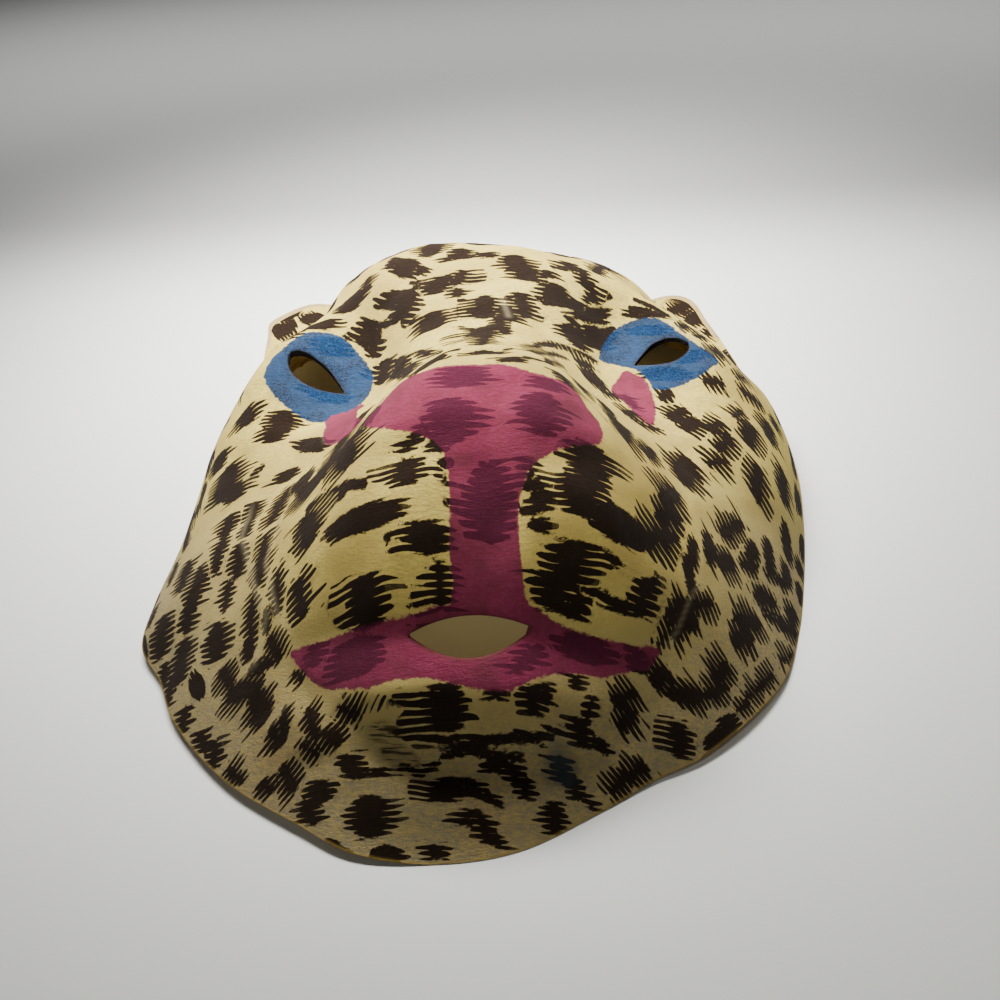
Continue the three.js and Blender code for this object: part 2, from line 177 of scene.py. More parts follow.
NOSE = [
    (-20, -18), (-13, -19), (5, -18.5), (17, -22), (30, -22), (33, -27), (36, -30), (37, -34),
    (36, -38), (32, -40), (28, -41.5), (22, -44), (17, -48), (14, -53), (12.8, -58),
    (13, -63), (13.5, -70), (14, -78), (-5, -78), (-5.5, -70), (-6, -65), (-5.5, -54),
    (-6, -49), (-7, -45), (-10, -42), (-15, -40), (-24, -37), (-31, -31), (-30, -24),
]
LIPS = [
    (-54.5, -76), (-40, -76.5), (-20, -76), (-6, -74), (13, -73.5), (25, -76), (42, -76.5),
    (51, -75), (51, -77), (48, -80), (42, -82), (35, -84.5), (27, -85.5), (20, -87),
    (14, -89.5), (8, -91.8), (0, -91.5), (-17, -89.5), (-30, -90.2), (-38, -88.5),
    (-45, -86.5), (-50, -82.5), (-54, -78.5),
]

# The dark spots: each group has one direction of its brush strokes in degrees, how far their
# tips reach past the spot, and rows of x, y, half length, half width, turn
SPOTS = [
    # Forehead, bridge, and between the eyes
    {"strokes": 0, "reach": 3.2, "rows": [
        (-20, 80, 6.5, 6.5, 0), (-22, 74, 2.5, 2, 0), (-8, 72, 5, 3, 0), (-13, 69, 3.5, 1, 20),
        (0, 70, 5, 1.1, -12), (-53, 65.5, 8, 3, 5), (-47, 68.5, 4, 2.6, 50),
        (-66, 57.5, 8, 2.3, 5), (-74, 53, 4, 1.6, 50), (13, 64, 7, 4.4, -20),
        (16, 58.5, 7, 2.8, -10), (24, 60.3, 3.5, 1.3, 0), (34, 68, 4.5, 1.8, -15),
        (38, 65, 3.6, 3.4, -50), (41, 61, 3.4, 2.2, -45), (39, 57, 2, 0.8, 30),
        (27, 52.5, 6, 3.2, 5), (34, 51, 5, 1.8, 20), (-16, 54, 6.5, 3.8, 20),
        (-9, 57, 5, 3, 30), (-9, 48.5, 3, 1.8, 0), (-18, 36, 6.5, 4.2, 0), (1, 39, 6.5, 6, 0),
        (9, 35, 6, 4.6, -20), (14.5, 40, 4.5, 5, 40), (6.5, 27, 3.2, 4.5, 0),
        (9, 22.5, 1.3, 2.3, 0), (1, 20, 6.2, 5, 0), (2, 9, 3.6, 7.5, 0),
        (44, 75, 3, 4, -40), (58, 58.6, 4, 0.8, 0), (66, 59.2, 4, 0.8, -5),
        (-77, 63, 1.3, 4, 8), (-37, 85, 6, 4, 0), (-52, 84, 6, 4, 10), (10, 84, 7, 3.5, 0),
        (30, 82, 6, 4, 0), (47, 84, 6, 4, 0),
    ]},
    # Brow spots with slanting strokes
    {"strokes": -35, "reach": 3.4, "rows": [
        (-36, 73, 4, 2.6, -60), (-30, 67.5, 8, 4.2, -40), (-24, 63.5, 3.5, 1.4, -25),
        (-34, 55, 7, 2.4, -30), (-29, 50, 6.5, 4.4, -45), (-46, 50, 6, 2.6, -30),
        (-43, 46, 4.5, 2.6, -50), (-38, 33, 6.5, 3.4, -48), (-30, 23, 7.5, 3.6, -62),
        (-24, 11, 7.5, 3.2, -62),
    ]},
    {"strokes": 25, "reach": 3.0, "rows": [
        (33, 37, 5.5, 4, 15), (41, 43.5, 6.5, 3.2, 35), (47, 49, 3.5, 1.4, 45),
        (42, 54, 5.5, 0.8, 32), (39, 49.5, 7, 0.8, 30), (-89, 18.5, 5.5, 3.4, 20),
    ]},
    # Round the right eye, with strokes down the slope
    {"strokes": -60, "reach": 3.4, "rows": [
        (36, 26, 2.6, 3.6, -60), (38.5, 18, 4.2, 6, 20), (44, 13.5, 3.6, 3.2, -45),
        (64.5, 18.5, 2.4, 3.4, 0), (83, 26, 4, 2.3, -30), (86, 42, 4.5, 4, -30),
        (78, 57.5, 3.6, 5.5, -30), (82, 51, 2.6, 2.6, 0), (98, 27, 5, 2.2, -25),
        (96, 36, 4, 1.6, 60), (92, 141, 6.5, 6, 20), (98, 131, 4.5, 7, 10),
        (104, 118, 3, 4, 0), (-108, 130, 5, 9, 0), (-115.5, 131, 2, 4, 0), (-103, 118, 3, 4, 20),
    ]},
    # Cheeks and walls of the left side
    {"strokes": 0, "reach": 2.8, "rows": [
        (-74, 13, 6, 5, 0), (-76, 7.5, 5, 3.2, 0), (-101, 8, 5, 2.8, 0), (-94, -5, 7.5, 6.8, 0),
        (-88, -12, 5, 3, 0), (-67, -13, 5, 1.9, 0), (-78, -24, 3.2, 4, 0),
        (-78, -32, 2, 3.4, 0), (-88, -25, 4, 3.8, 0), (-88, -36, 2.6, 7, 0),
        (-104, -37, 3.4, 6, 0), (-96, -45, 4.2, 7, 0), (-98, -54, 3.4, 3.4, 0),
        (-110, -55, 5, 6, 0), (-118.5, -44, 1.8, 3.6, 0), (-114, -29, 1.4, 4.6, 0),
        (-79, -43, 3, 5, 0), (-82, -53, 1.8, 4.4, 0), (-84, -65.5, 4.8, 5, 0),
        (-99, -66, 5, 6.4, 0), (-103, -73, 2.6, 4.4, -20), (-107, -67, 2.4, 3.6, 0),
        (-95, -83, 3, 3.4, -20), (-87, -90.5, 4, 2.4, -30), (-82, -94.5, 3.4, 3.2, -20),
    ]},
    {"strokes": -28, "reach": 2.6, "rows": [
        (-59, -4, 8.5, 2.4, -33),
    ]},
    # Muzzle, left, where the print is stretched down the slope
    {"strokes": 15, "reach": 3.6, "rows": [
        (-44, -22, 6, 11, 0), (-50, -33, 10, 5, 5), (-37, -36, 7, 6, 0), (-66, -28, 3, 8, -20),
        (-68, -48, 2.8, 8.5, 0), (-70, -66, 2.2, 8, 0), (-60, -61, 2.0, 5.4, 0),
        (-49, -51, 6, 5, 0), (-51, -66, 4.2, 4.4, 0), (-71, -72, 2.2, 2.4, 0),
    ]},
    {"strokes": 3, "reach": 3.6, "rows": [
        (-30, -57.5, 12, 2.3, 0), (-17, -49, 5.2, 3, 0), (-12.5, -63, 6.5, 2.6, 0),
        (-9, -71, 3, 3.6, 0), (-30, -72.5, 7, 4.4, 0), (-15, -41, 3.4, 0.8, 25),
        (-8.5, -43.5, 2.4, 0.7, 0),
    ]},
    # Muzzle, right
    {"strokes": 0, "reach": 3.8, "rows": [
        (33, -43, 7, 3, 0), (32, -48, 5.4, 2.4, 0), (30, -52.5, 7.5, 4.2, 0),
        (40, -56, 8, 3.4, 0), (26, -66, 7.5, 3.6, 8), (21.5, -71, 7, 2.8, 0),
        (27, -72.5, 4.5, 1.8, 0), (47, -67.5, 4.4, 3.2, 25), (40, -70.6, 5, 1.0, 0),
        (50, -64.5, 2.8, 1.3, 40), (12, -16.5, 4.5, 1.2, 0), (27, -19.5, 4, 2, -20),
        (4, -10, 6, 1.2, 0), (18.5, -56, 3, 0.8, 0), (18.5, -60, 3, 0.8, 0),
    ]},
    {"strokes": -40, "reach": 3.4, "rows": [
        (52, -53, 7.5, 4, 25), (56, -45, 4.4, 4.6, 0), (58, -37.5, 4.4, 5.6, 0),
        (44, -20, 4, 9.5, 15), (53, -21.5, 3.2, 4.5, 0), (50, 3, 4.4, 2.4, -35),
        (56, -1.5, 4.5, 1.2, -12), (67, 8, 4.6, 4.2, -40), (71, 3, 5, 3.8, -30),
        (80, 3.5, 3.6, 3.4, 0), (82, -3, 4.2, 4.4, 0), (78, -11, 4.2, 2.4, 0),
        (90, 13.5, 2.6, 3.4, -35), (93, 6, 4, 5.4, 0), (66, -19, 5.4, 7.4, 10),
        (93, -12, 3.6, 6.8, 10), (103, 15, 3.4, 5.4, 25), (105, -5, 2.8, 6.6, 0),
        (32, -9, 2.2, 7.4, 12), (108, 24, 1.8, 3, 0),
    ]},
    # Right cheek and flange
    {"strokes": -55, "reach": 2.6, "rows": [
        (80, -33, 6, 3.6, 50), (87, -37, 2, 3.4, 0), (85, -42, 3.2, 2.4, 0),
        (94, -34.5, 1.5, 5.4, 0), (95.5, -40.5, 3.8, 1.6, 0), (101, -36, 1.6, 3.6, 0),
        (103.5, -24, 1.6, 6, 0), (109, -28, 1.6, 2.6, 0), (107, -38, 1.3, 3.4, 0),
        (70, -45, 1.6, 5.2, 0), (64, -50, 1.2, 3.6, 0), (62, -57, 1.2, 4.4, 10),
        (76, -46, 3.4, 4.2, 0), (90, -49.5, 4.6, 3.2, 0), (93, -54, 4.4, 1.7, 0),
        (101, -48, 2.4, 2.6, 0), (99, -54, 4, 2.4, 0), (82, -59.5, 5.2, 3.6, 0),
        (79, -65.5, 4.2, 3.8, 0), (96, -63.5, 3.6, 1.7, 40), (65.5, -62, 4.4, 2.6, 25),
        (60.5, -66, 2, 4.4, 55), (58.5, -70, 3.2, 2.2, 60), (54, -71, 4.4, 1.1, 60),
        (56, -67, 2.2, 1.6, 40),
    ]},
    {"strokes": -38, "reach": 3.2, "rows": [
        (52, -81, 4.6, 3, -20), (60, -83.2, 6.5, 3, -5), (69, -80.5, 4.6, 2.8, 10),
        (71, -75.5, 4, 3.6, -20), (41, -87, 4.6, 2.8, 10), (41.5, -91, 3.6, 3, 0),
        (87, -73, 3.6, 2.2, 35), (82, -77.5, 3.6, 2.2, 25), (78, -82, 2.8, 1.7, 10),
        (44, -101, 4.2, 2.8, -10), (39, -104, 3.8, 2.8, 30),
    ]},
    # Chin
    {"strokes": 0, "reach": 2.8, "rows": [
        (57, -93, 4.4, 3.6, 0), (31, -91.5, 2.8, 1.5, 50), (28, -95.8, 4, 2, -10),
        (34, -97.2, 2.6, 1.2, -15), (27, -87.4, 2.6, 1.5, 0), (-9, -95, 7, 3.4, 0),
        (-8, -91.8, 4, 1.0, 0), (5, -92.4, 3.4, 0.8, 0), (15, -92.6, 4, 2.4, 0),
        (18.5, -90.8, 2.6, 1.8, 0), (4, -103.6, 4, 1.1, 0), (9, -105, 4, 2.1, -20),
        (12, -107.8, 2.6, 2.4, 0), (-9, -108.5, 7.2, 2.6, 8), (-2, -108.4, 4, 1.8, -20),
        (3, -110.8, 3.6, 1.0, -20), (-4, -114.6, 4, 1.5, 10), (0.5, -117, 3.6, 2.6, -30),
        (4, -119.3, 2.4, 1.2, -20), (-13, -121.8, 3.6, 1.4, -5), (22.5, -103, 3.4, 2.8, -20),
        (26, -106.4, 2.6, 2.2, -45), (29.5, -108.8, 2.6, 0.8, -30), (20, -113.4, 3.4, 3.4, 20),
        (-31, -114.5, 7, 4.4, 0), (-36, -104, 4.6, 2.5, -15), (-29, -105.4, 3, 0.9, 0),
        (-46, -108.2, 5.2, 2.4, 0), (-49, -112.4, 4.2, 2.5, -20),
    ]},
    {"strokes": 35, "reach": 2.8, "rows": [
        (-79, -76, 4, 3.4, 20), (-72, -81.2, 7.5, 3.2, 10), (-61, -74, 3.6, 3.6, -40),
        (-66, -77, 4.4, 1.6, 10), (-66, -87, 5.4, 4.2, 35), (-60, -94.5, 4, 3, 30),
        (-57, -92, 1.7, 4, -10), (-74, -101, 3.6, 2.4, -20), (-63, -105, 3.6, 2.1, 20),
        (-56, -104, 3.8, 3.8, 0), (-53, -82, 2.4, 1.7, 0), (-48, -93.5, 2.6, 4, 10),
        (-42, -97.5, 4.4, 2.4, 10), (-49, -99, 3.4, 1.6, -20), (-36.5, -93, 4.2, 1.8, -10),
        (-64, -67, 1.4, 2.8, 0),
    ]},
    # Under the pink and blue paint
    {"strokes": 0, "reach": 3.0, "rows": [
        (-2, -23.5, 7, 3.8, 0), (-5, -37.5, 7, 5, 0), (20, -35, 6, 5, 0),
        (22, -25.5, 4.4, 1.8, 0), (5, -55, 7, 7.5, 0), (-34, -82.5, 9, 4.5, 0),
        (30, -79.5, 9, 2.8, 0), (45, -79, 3.4, 2.2, 0), (-47, -79, 4, 2.4, 0),
        (14, -84, 6, 2.5, 30), (-60, 47.5, 6.5, 3, -10), (-60, 27.5, 7, 2.6, -10),
        (62, 51.5, 7, 2.2, 0), (66, 29.5, 8, 3, 0), (76, 38, 5, 2.2, 20),
        (51, 13, 1.6, 4, 25),
    ]},
]

# Single strokes and smeared lines of the print: half width and route
STREAKS = [
    (0.9, [(15, 6), (20, 18), (26, 25), (40, 33)]),
    (0.8, [(17, 2), (22, 12), (29, 20)]),
    (1.0, [(27, 8), (23, 2), (23, -10), (16, -14)]),
    (0.8, [(10, -7), (17, 1), (20, 8)]),
    (0.9, [(-22, 21), (-17, 14), (-12, 6)]),
    (0.7, [(-8, 44), (1, 41)]), (0.7, [(-9, 39), (0, 38)]), (0.7, [(-6, 34.5), (4, 34)]),
    (0.7, [(14, 46), (18, 43), (21, 38)]), (0.6, [(8, 44), (13, 47), (18, 46)]),
    (0.7, [(-7, 28), (-1, 23)]), (0.7, [(-12, 21), (-3, 20)]), (0.7, [(-9, 13.5), (0, 15)]),
    (0.6, [(-27, 58.5), (-19, 55)]), (0.6, [(-26, 55), (-18, 52.5)]),
    (0.6, [(-8, 57.5), (0.5, 57.5)]), (0.6, [(-8, 55), (-1, 55.5)]),
    (0.7, [(-30, 44), (-26, 41), (-19, 38)]), (0.7, [(-15, 37), (-8, 36)]),
    (0.6, [(-49, 55.5), (-42, 52)]), (0.6, [(-55, 52), (-48, 51)]),
    (0.6, [(-42, 57.5), (-36, 55)]), (0.6, [(-41, 51), (-32, 46)]),
    (0.6, [(26, 65), (34, 67)]), (0.6, [(29, 70), (35, 69.5)]), (0.6, [(41, 60), (48, 62.5)]),
    (0.6, [(58, 65), (66, 62.5), (71, 60)]), (0.6, [(56, 61), (64, 60.3)]),
    (0.6, [(30, 43.5), (38, 42.5)]), (0.6, [(20, 47), (28, 50.5)]), (0.6, [(22, 45.5), (31, 49)]),
    (0.8, [(-50, -43.5), (-40, -46.5), (-29, -50)]), (0.7, [(-48, -47), (-36, -50)]),
    (0.6, [(-22, -65), (-14, -64)]), (0.6, [(-23, -62.5), (-14, -62.5)]),
    (0.6, [(-17, -73.6), (-9, -73)]), (0.7, [(-41, -71.5), (-33, -71)]),
    (0.7, [(-39, -74.5), (-30, -74.5)]), (0.6, [(14, -52), (24, -52)]),
    (0.6, [(17, -54.5), (26, -54)]), (0.6, [(14.5, -47.5), (17.5, -47.5)]),
    (0.5, [(14, -49.5), (17, -49.5)]), (0.6, [(13.5, -57), (17.5, -57)]),
    (0.6, [(28, -62.5), (40, -63.4)]), (0.6, [(30, -69.6), (37, -69.6)]),
    (0.5, [(-8, -47.5), (-5, -47.3)]), (0.5, [(-8.5, -51.5), (-5, -51.3)]),
    (0.6, [(-6.5, -56), (-3, -56)]),
    (0.8, [(-14, -5), (-25, -15), (-36, -19)]),
    (0.5, [(-24, -98), (-14, -99.3), (-2, -100.2)]), (0.6, [(-6, -100.3), (6, -99.3), (16, -98.3),
                                                             (23, -96)]),
    (0.6, [(-11, -101.8), (-3, -100.9), (5, -101.8), (12, -101.2)]),
    (0.6, [(-22, -104), (-17, -105.4), (-12, -103)]),
    (0.6, [(-24, -93.5), (-14, -94)]), (0.6, [(-22, -96.6), (-12, -96.4)]),
    (0.6, [(-20, -108.6), (-14, -108.6)]), (0.5, [(50, -91), (56, -92)]),
    (0.5, [(51, -94.6), (57, -94)]), (0.7, [(-82, -8), (-78, -6)]),
    (1.6, [(-117, 4), (-114, -8), (-111, -20)]),
]
# Smudges of the print: x, y, half length, half width, turn
SMEARED = [(-26, -98, 6, 2, -8), (-22.5, -102, 6, 2.4, -15)]

STROKE_PITCH = 1.95  # mean distance between brush strokes on the forehead
FINER_STROKES = 0.6  # how much nearer together they are round the chin
STROKE_REACH = 2.55  # how much further the longest strokes reach than the groups say
FULL_REACH_AT = 4  # half length of an oval from which its strokes have their full reach
SPOT_GROWTH = 0.8  # added to each spot's outline
CHIN_GROWTH = 0.2  # the same round the chin
CHIN_FROM, CHIN_TO = 45, 85  # how far below the middle the chin begins, and is all chin
SPOT_BLEND = 1.2  # rounding where two ovals of a spot meet
NO_SPOT = 30.0  # distance to a spot before any is added

# The seeded spots of the hidden walls
HIDDEN_SEED = 7
HIDDEN_TRIES = 4000
HIDDEN_GAP = 14  # least distance between two of them
HIDDEN_CLEAR = 5.0  # least distance from a listed spot
HIDDEN_EXTENT = 22  # how far from its middle a spot is worked out
HIDDEN_REACH = 4.6

# Lines where the stretched felt shows pale: half width and route
PALE_LINES = [
    (1.0, [(-79, -17), (-79, -35), (-70, -55), (-64, -66), (-68, -76), (-76, -79)]),
    (0.9, [(-62, -33), (-66, -50), (-60, -66), (-55, -74)]),
    (0.5, [(66, -57), (62, -62), (58, -69.5), (53, -76)]), (0.5, [(66, -48), (66, -58)]),
    (1.0, [(7, 45), (9, 37), (10, 31)]), (0.7, [(-81.5, -47), (-80.5, -47)]),
    (0.8, [(68, 59), (76, 50.5), (87, 38)]), (0.7, [(-64, -92), (-56, -88)]),
    (0.8, [(-45, -80), (-42, -86)]), (0.8, [(-57, 17.5), (-53, -8)]),
]
# Stains: x, y, radius
INK_STAIN = (22.5, -102.5, 5)
TEA_STAINS = [(0, -116, 7), (-60, -98, 8), (48, -66, 8)]

# Camera: place over the plan, and its three turns in degrees
CAMERA_AT = (19, -195, 217)
CAMERA_DOWN = 46
CAMERA_YAW = 4.5
CAMERA_ROLL = -5
SENSOR = 36
FOCAL_SHARE = 0.751  # focal length over the frame's width

# Stage, in metres apart from where the floor's painted shade darkens it behind the mask
FLOOR_HALF = 2.5
FLOOR_DROP = 0.0003  # the floor is this far below the rim
FLOOR_ROUGHNESS = 0.75
# Painted shade: from here to there, in millimetres behind the mask, the floor is painted darker
# for the dim far floor
FAR_FROM, FAR_TO = 150, 285
WORLD_COLOUR = (0.93, 0.96, 1.0, 1.0)
WORLD_STRENGTH = 0.02
# Lamps: name, place, the point it shines toward, sizes, spread in degrees, watts, tint. The key
# hangs over the forehead, and the far lamp lights the floor behind the mask. The last one, in
# the hollow, stands for the light that thin felt lets through.
LAMPS = [
    ("key", (-0.06, 0.175, 0.375), (-0.01, 0.12, 0.0), (0.30, 0.10), 100, 3.05,
     (1.0, 0.985, 0.965)),
    ("fill", (0.04, -0.80, 0.42), (0, -0.05, 0.04), (0.7, 0.5), 180, 0.15, (1.0, 1.0, 1.0)),
    ("muzzle lamp", (-0.05, -0.16, 0.50), (0.0, -0.015, 0.07), (0.1, 0.1), 28, 0.075,
     (1.0, 0.98, 0.95)),
    ("far lamp", (0.0, 0.60, 0.60), (0.0, 0.62, 0.0), (1.4, 0.4), 90, 3.9, (1.0, 1.0, 1.0)),
    ("light through the felt", (0.0, -0.005, 0.045), (0.0, -0.006, 0.0), (0.14, 0.13), 180,
     0.016, (1.0, 0.80, 0.40)),
]


def smooth_table(rows):
    """A smooth curve through a table's rows that doesn't overshoot between them."""
    at = np.array([row[0] for row in rows], float)
    value = np.array([row[1] for row in rows], float)
    rise = np.diff(value) / np.diff(at)
    slope = np.zeros(len(value))
    slope[0] = rise[0]
    slope[-1] = rise[-1]
    same = rise[:-1] * rise[1:] > 0
    total = np.where(same, rise[:-1] + rise[1:], 1)
    slope[1:-1] = np.where(same, 2 * rise[:-1] * rise[1:] / total, 0)

    def curve(x):
        i = np.clip(np.searchsorted(at, x, side="left") - 1, 0, len(rise) - 1)
        span = at[i + 1] - at[i]
        t = np.clip((x - at[i]) / span, 0, 1)
        s = 1 - t
        start = value[i] * s * s * (1 + 2 * t) + slope[i] * span * s * s * t
        end = value[i + 1] * t * t * (1 + 2 * s) - slope[i + 1] * span * t * t * s
        return start + end

    return curve


def closed_curve(corners, steps):
    """A smooth closed curve through the corners."""
    a, b, c, d = (np.roll(np.array(corners, float), shift, axis=0) for shift in (1, 0, -1, -2))
    rows = []
    for k in range(steps):
        t = k / steps
        rows.append(0.5 * (2 * b + (c - a) * t + (2 * a - 5 * b + 4 * c - d) * t**2
                           + (3 * b - a - 3 * c + d) * t**3))
    return np.stack(rows, axis=1).reshape(-1, len(corners[0]))


def head_outline():
    """The rim with the foot of the head's wall in place of the ears."""
    outline = [row[:2] for row in RIM]
    for foot in (RIGHT_EAR_FOOT, LEFT_EAR_FOOT):
        first, last = outline.index(foot[0]), outline.index(foot[-1])
        outline[first:last + 1] = foot
    return outline


def by_direction(curve):
    """Directions and radii of an outline's points round the plan's centre."""
    dx, dy = curve[:, 0] - PLAN_CENTRE[0], curve[:, 1] - PLAN_CENTRE[1]
    return np.arctan2(dy, dx), np.hypot(dx, dy)


RIM_CURVE = closed_curve(RIM, RIM_STEPS)
RIM_ANGLES, RIM_RADII = by_direction(RIM_CURVE)
HEAD_ANGLES, HEAD_RADII = by_direction(closed_curve(head_outline(), RIM_STEPS))
wall_power = smooth_table(WALLS)
middle_height = smooth_table(MIDDLE_HEIGHT)
middle_half = smooth_table(MIDDLE_HALF)
middle_lean = smooth_table(MIDDLE_LEAN)


def rim_radius(angle):
    return np.interp(angle, RIM_ANGLES, RIM_RADII, period=2 * np.pi)


def rim_lift(angle):
    return np.interp(angle, RIM_ANGLES, np.maximum(RIM_CURVE[:, 2], 0), period=2 * np.pi)


def head_radius(angle):
    return np.interp(angle, HEAD_ANGLES, HEAD_RADII, period=2 * np.pi)


def share_and_angle(x, y, radius=head_radius):
    """Where plan points lie between the centre (0) and the foot of the head's wall (1), and in
    which direction they are."""
    angle = np.arctan2(y - PLAN_CENTRE[1], x - PLAN_CENTRE[0])
    reach = np.hypot(x - PLAN_CENTRE[0], y - PLAN_CENTRE[1])
    return np.minimum(reach / radius(angle), 1), angle


def shell_height(x, y):
    share, angle = share_and_angle(x, y)
    return CHEEK_HEIGHT * (1 - share ** wall_power(np.degrees(angle)))


def smoothstep(x, low, high):
    t = np.clip((x - low) / (high - low), 0, 1)
    return t * t * (3 - 2 * t)


def turned(x, y, centre_x, centre_y, turn):
    """Places along and across an axis that is turned by some degrees round a centre."""
    c, s = np.cos(np.radians(turn)), np.sin(np.radians(turn))
    dx, dy = x - centre_x, y - centre_y
    return c * dx + s * dy, c * dy - s * dx


def route_distance(x, y, route):
    """Distance to a route of straight stretches, and the place along it from 0 to 1."""
    best = np.full(x.shape, 1e9)
    place = np.zeros(x.shape)
    corners = np.array(route, float)
    lengths = np.hypot(*np.diff(corners, axis=0).T)
    starts = np.concatenate([[0], np.cumsum(lengths)])
    for i, length in enumerate(lengths):
        ax, ay = corners[i]
        bx, by = corners[i + 1]
        t = np.clip(((x - ax) * (bx - ax) + (y - ay) * (by - ay)) / length**2, 0, 1)
        away = np.hypot(x - ax - t * (bx - ax), y - ay - t * (by - ay))
        closer = away < best
        best = np.where(closer, away, best)
        place = np.where(closer, (starts[i] + t * length) / starts[-1], place)
    return best, place


def crease_height(x, y):
    """The folds, ripples and ridges that moulding and handling left in the felt."""
    total = np.zeros(x.shape)
    for by, width, route in CREASES:
        away, place = route_distance(x, y, route)
        fade = smoothstep(place, 0, 0.18) * (1 - smoothstep(place, 0.82, 1))
        total += CREASE_SHARE * by * fade * np.exp(-((away / width) ** 2))
    for wave, by, turn in RIPPLES:
        u, v = turned(x, y, *RIPPLE_CENTRE, turn)
        total += by * np.sin(2 * np.pi * u / wave + 2 * np.sin(2 * np.pi * v / (1.7 * wave)))
    return total


def face_height(x, y, creases=True):
    """Height of the face over the table at plan points."""
    share, angle = share_and_angle(x, y)
    shell = CHEEK_HEIGHT * (1 - share ** wall_power(np.degrees(angle)))
    on_middle = shell_height(np.full_like(x, PLAN_CENTRE[0]), y)
    aside = np.abs(x - middle_lean(y)) / middle_half(y)
    height = shell + (middle_height(y) - on_middle) * np.exp(-(aside**MIDDLE_ROUNDING)) * (
        1 - share**8
    )
    for cx, cy, level, slope_x, slope_y, radius in EYE_AREAS:
        away = np.hypot(x - cx, y - cy) / radius
        weight = np.exp(-(away**4)) * (1 - share**10)
        height += (level + slope_x * (x - cx) + slope_y * (y - cy) - height) * weight
    for cx, cy, by, along, across, turn in SWELLS:
        u, v = turned(x, y, cx, cy, turn)
        height += by * np.exp(-((u / along) ** 2) - (v / across) ** 2)
    for fold_y, bend, by, width, reach in FOLDS:
        across = (y - fold_y - bend * x * x) / width
        height += by * np.exp(-(across**2) - (x / reach) ** 6)
    p = PHILTRUM
    groove = smoothstep(y, p["start"], p["deep_start"])
    groove *= 1 - smoothstep(y, p["deep_end"], p["end"])
    height += p["by"] * groove * np.exp(-(((x - p["x"]) / p["width"]) ** 2))
    if creases:
        height += crease_height(x, y) * (1 - share**12)
    return np.maximum(height + rim_lift(angle) * share**3, 0)


def face_normal(x, y, creases=True):
    """Outward directions of the face, from the slopes just inside each plan point."""
    step = 0.5
    x = x + (PLAN_CENTRE[0] - x) * 0.01
    y = y + (PLAN_CENTRE[1] - y) * 0.01
    slope_x = face_height(x + step, y, creases) - face_height(x - step, y, creases)
    slope_y = face_height(x, y + step, creases) - face_height(x, y - step, creases)
    normal = np.stack([-slope_x, -slope_y, np.full_like(x, 2 * step)], axis=-1)
    return normal / np.linalg.norm(normal, axis=-1, keepdims=True)


def ring_start(ring):
    return 0 if ring == 0 else 1 + 3 * ring * (ring - 1)


def plan_disc(rings):
    """Plan points in rings round the centre, ring k with 6k points, and their triangles."""
    points = [np.array([[PLAN_CENTRE[0], PLAN_CENTRE[1]]])]
    triangles = []
    for ring in range(1, rings + 1):
        turn = 2 * np.pi * np.arange(6 * ring) / (6 * ring)
        angle = np.where(turn > np.pi, turn - 2 * np.pi, turn)
        share = ring / rings
        spread = max((share - EAR_START) / (1 - EAR_START), 0) ** 2
        reach = head_radius(angle) * share + (rim_radius(angle) - head_radius(angle)) * spread
        points.append(np.stack([PLAN_CENTRE[0] + reach * np.cos(angle),
                                PLAN_CENTRE[1] + reach * np.sin(angle)], axis=1))
        sector, i = (grid.ravel() for grid in np.meshgrid(np.arange(6), np.arange(ring)))
        outer = sector * ring + i
        inner = sector * (ring - 1) + i
        out_a = ring_start(ring) + outer % (6 * ring)
        out_b = ring_start(ring) + (outer + 1) % (6 * ring)
        in_count = max(6 * (ring - 1), 1)
        in_a = ring_start(ring - 1) + inner % in_count
        in_b = ring_start(ring - 1) + (inner + 1) % in_count
        triangles.append(np.stack([out_a, out_b, in_a], axis=1))
        more = i < ring - 1
        triangles.append(np.stack([out_b, in_b, in_a], axis=1)[more])
    return np.concatenate(points), np.concatenate(triangles)


def hole_local(hole, points):
    """Places of points in a hole's own frame: along it, across it, and along the cut."""
    offset = points - np.array([hole["x"], hole["y"], CUT_RISE])
    c, s = np.cos(np.radians(hole["lean"])), np.sin(np.radians(hole["lean"]))
    upright_y = c * offset[:, 1] + s * offset[:, 2]
    along, across = turned(offset[:, 0], upright_y, 0, 0, hole["turn"])
    return along, across, c * offset[:, 2] - s * offset[:, 1]


def hole_distance(hole, points):
    """Rough distance of points from a hole's outline, negative inside the hole."""
    along, across, _ = hole_local(hole, points)
    q = np.clip(along / (hole["length"] / 2), -1, 1)
    peak = (1 - hole["round"]) / (1 + hole["round"])
    lid = (1 + q) * (1 - q) ** hole["round"] / ((1 + peak) * (1 - peak) ** hole["round"])
    rise = np.where(across > 0, hole["up"], hole["down"])
    beyond = np.maximum(np.abs(along) - hole["length"] / 2, 0)
    past_lid = np.abs(across) - rise * lid
    return np.hypot(np.maximum(past_lid, 0), beyond) + np.minimum(past_lid, 0)


def loop_turns(hole, points, loop):
    """Directions of a loop's points round the middle of a hole."""
    along, across, _ = hole_local(hole, points[loop])
    return np.arctan2(across * 2.2, along - 0.02 * hole["length"])


def face_point(xy):
    return np.column_stack([xy, face_height(xy[:, 0], xy[:, 1])])


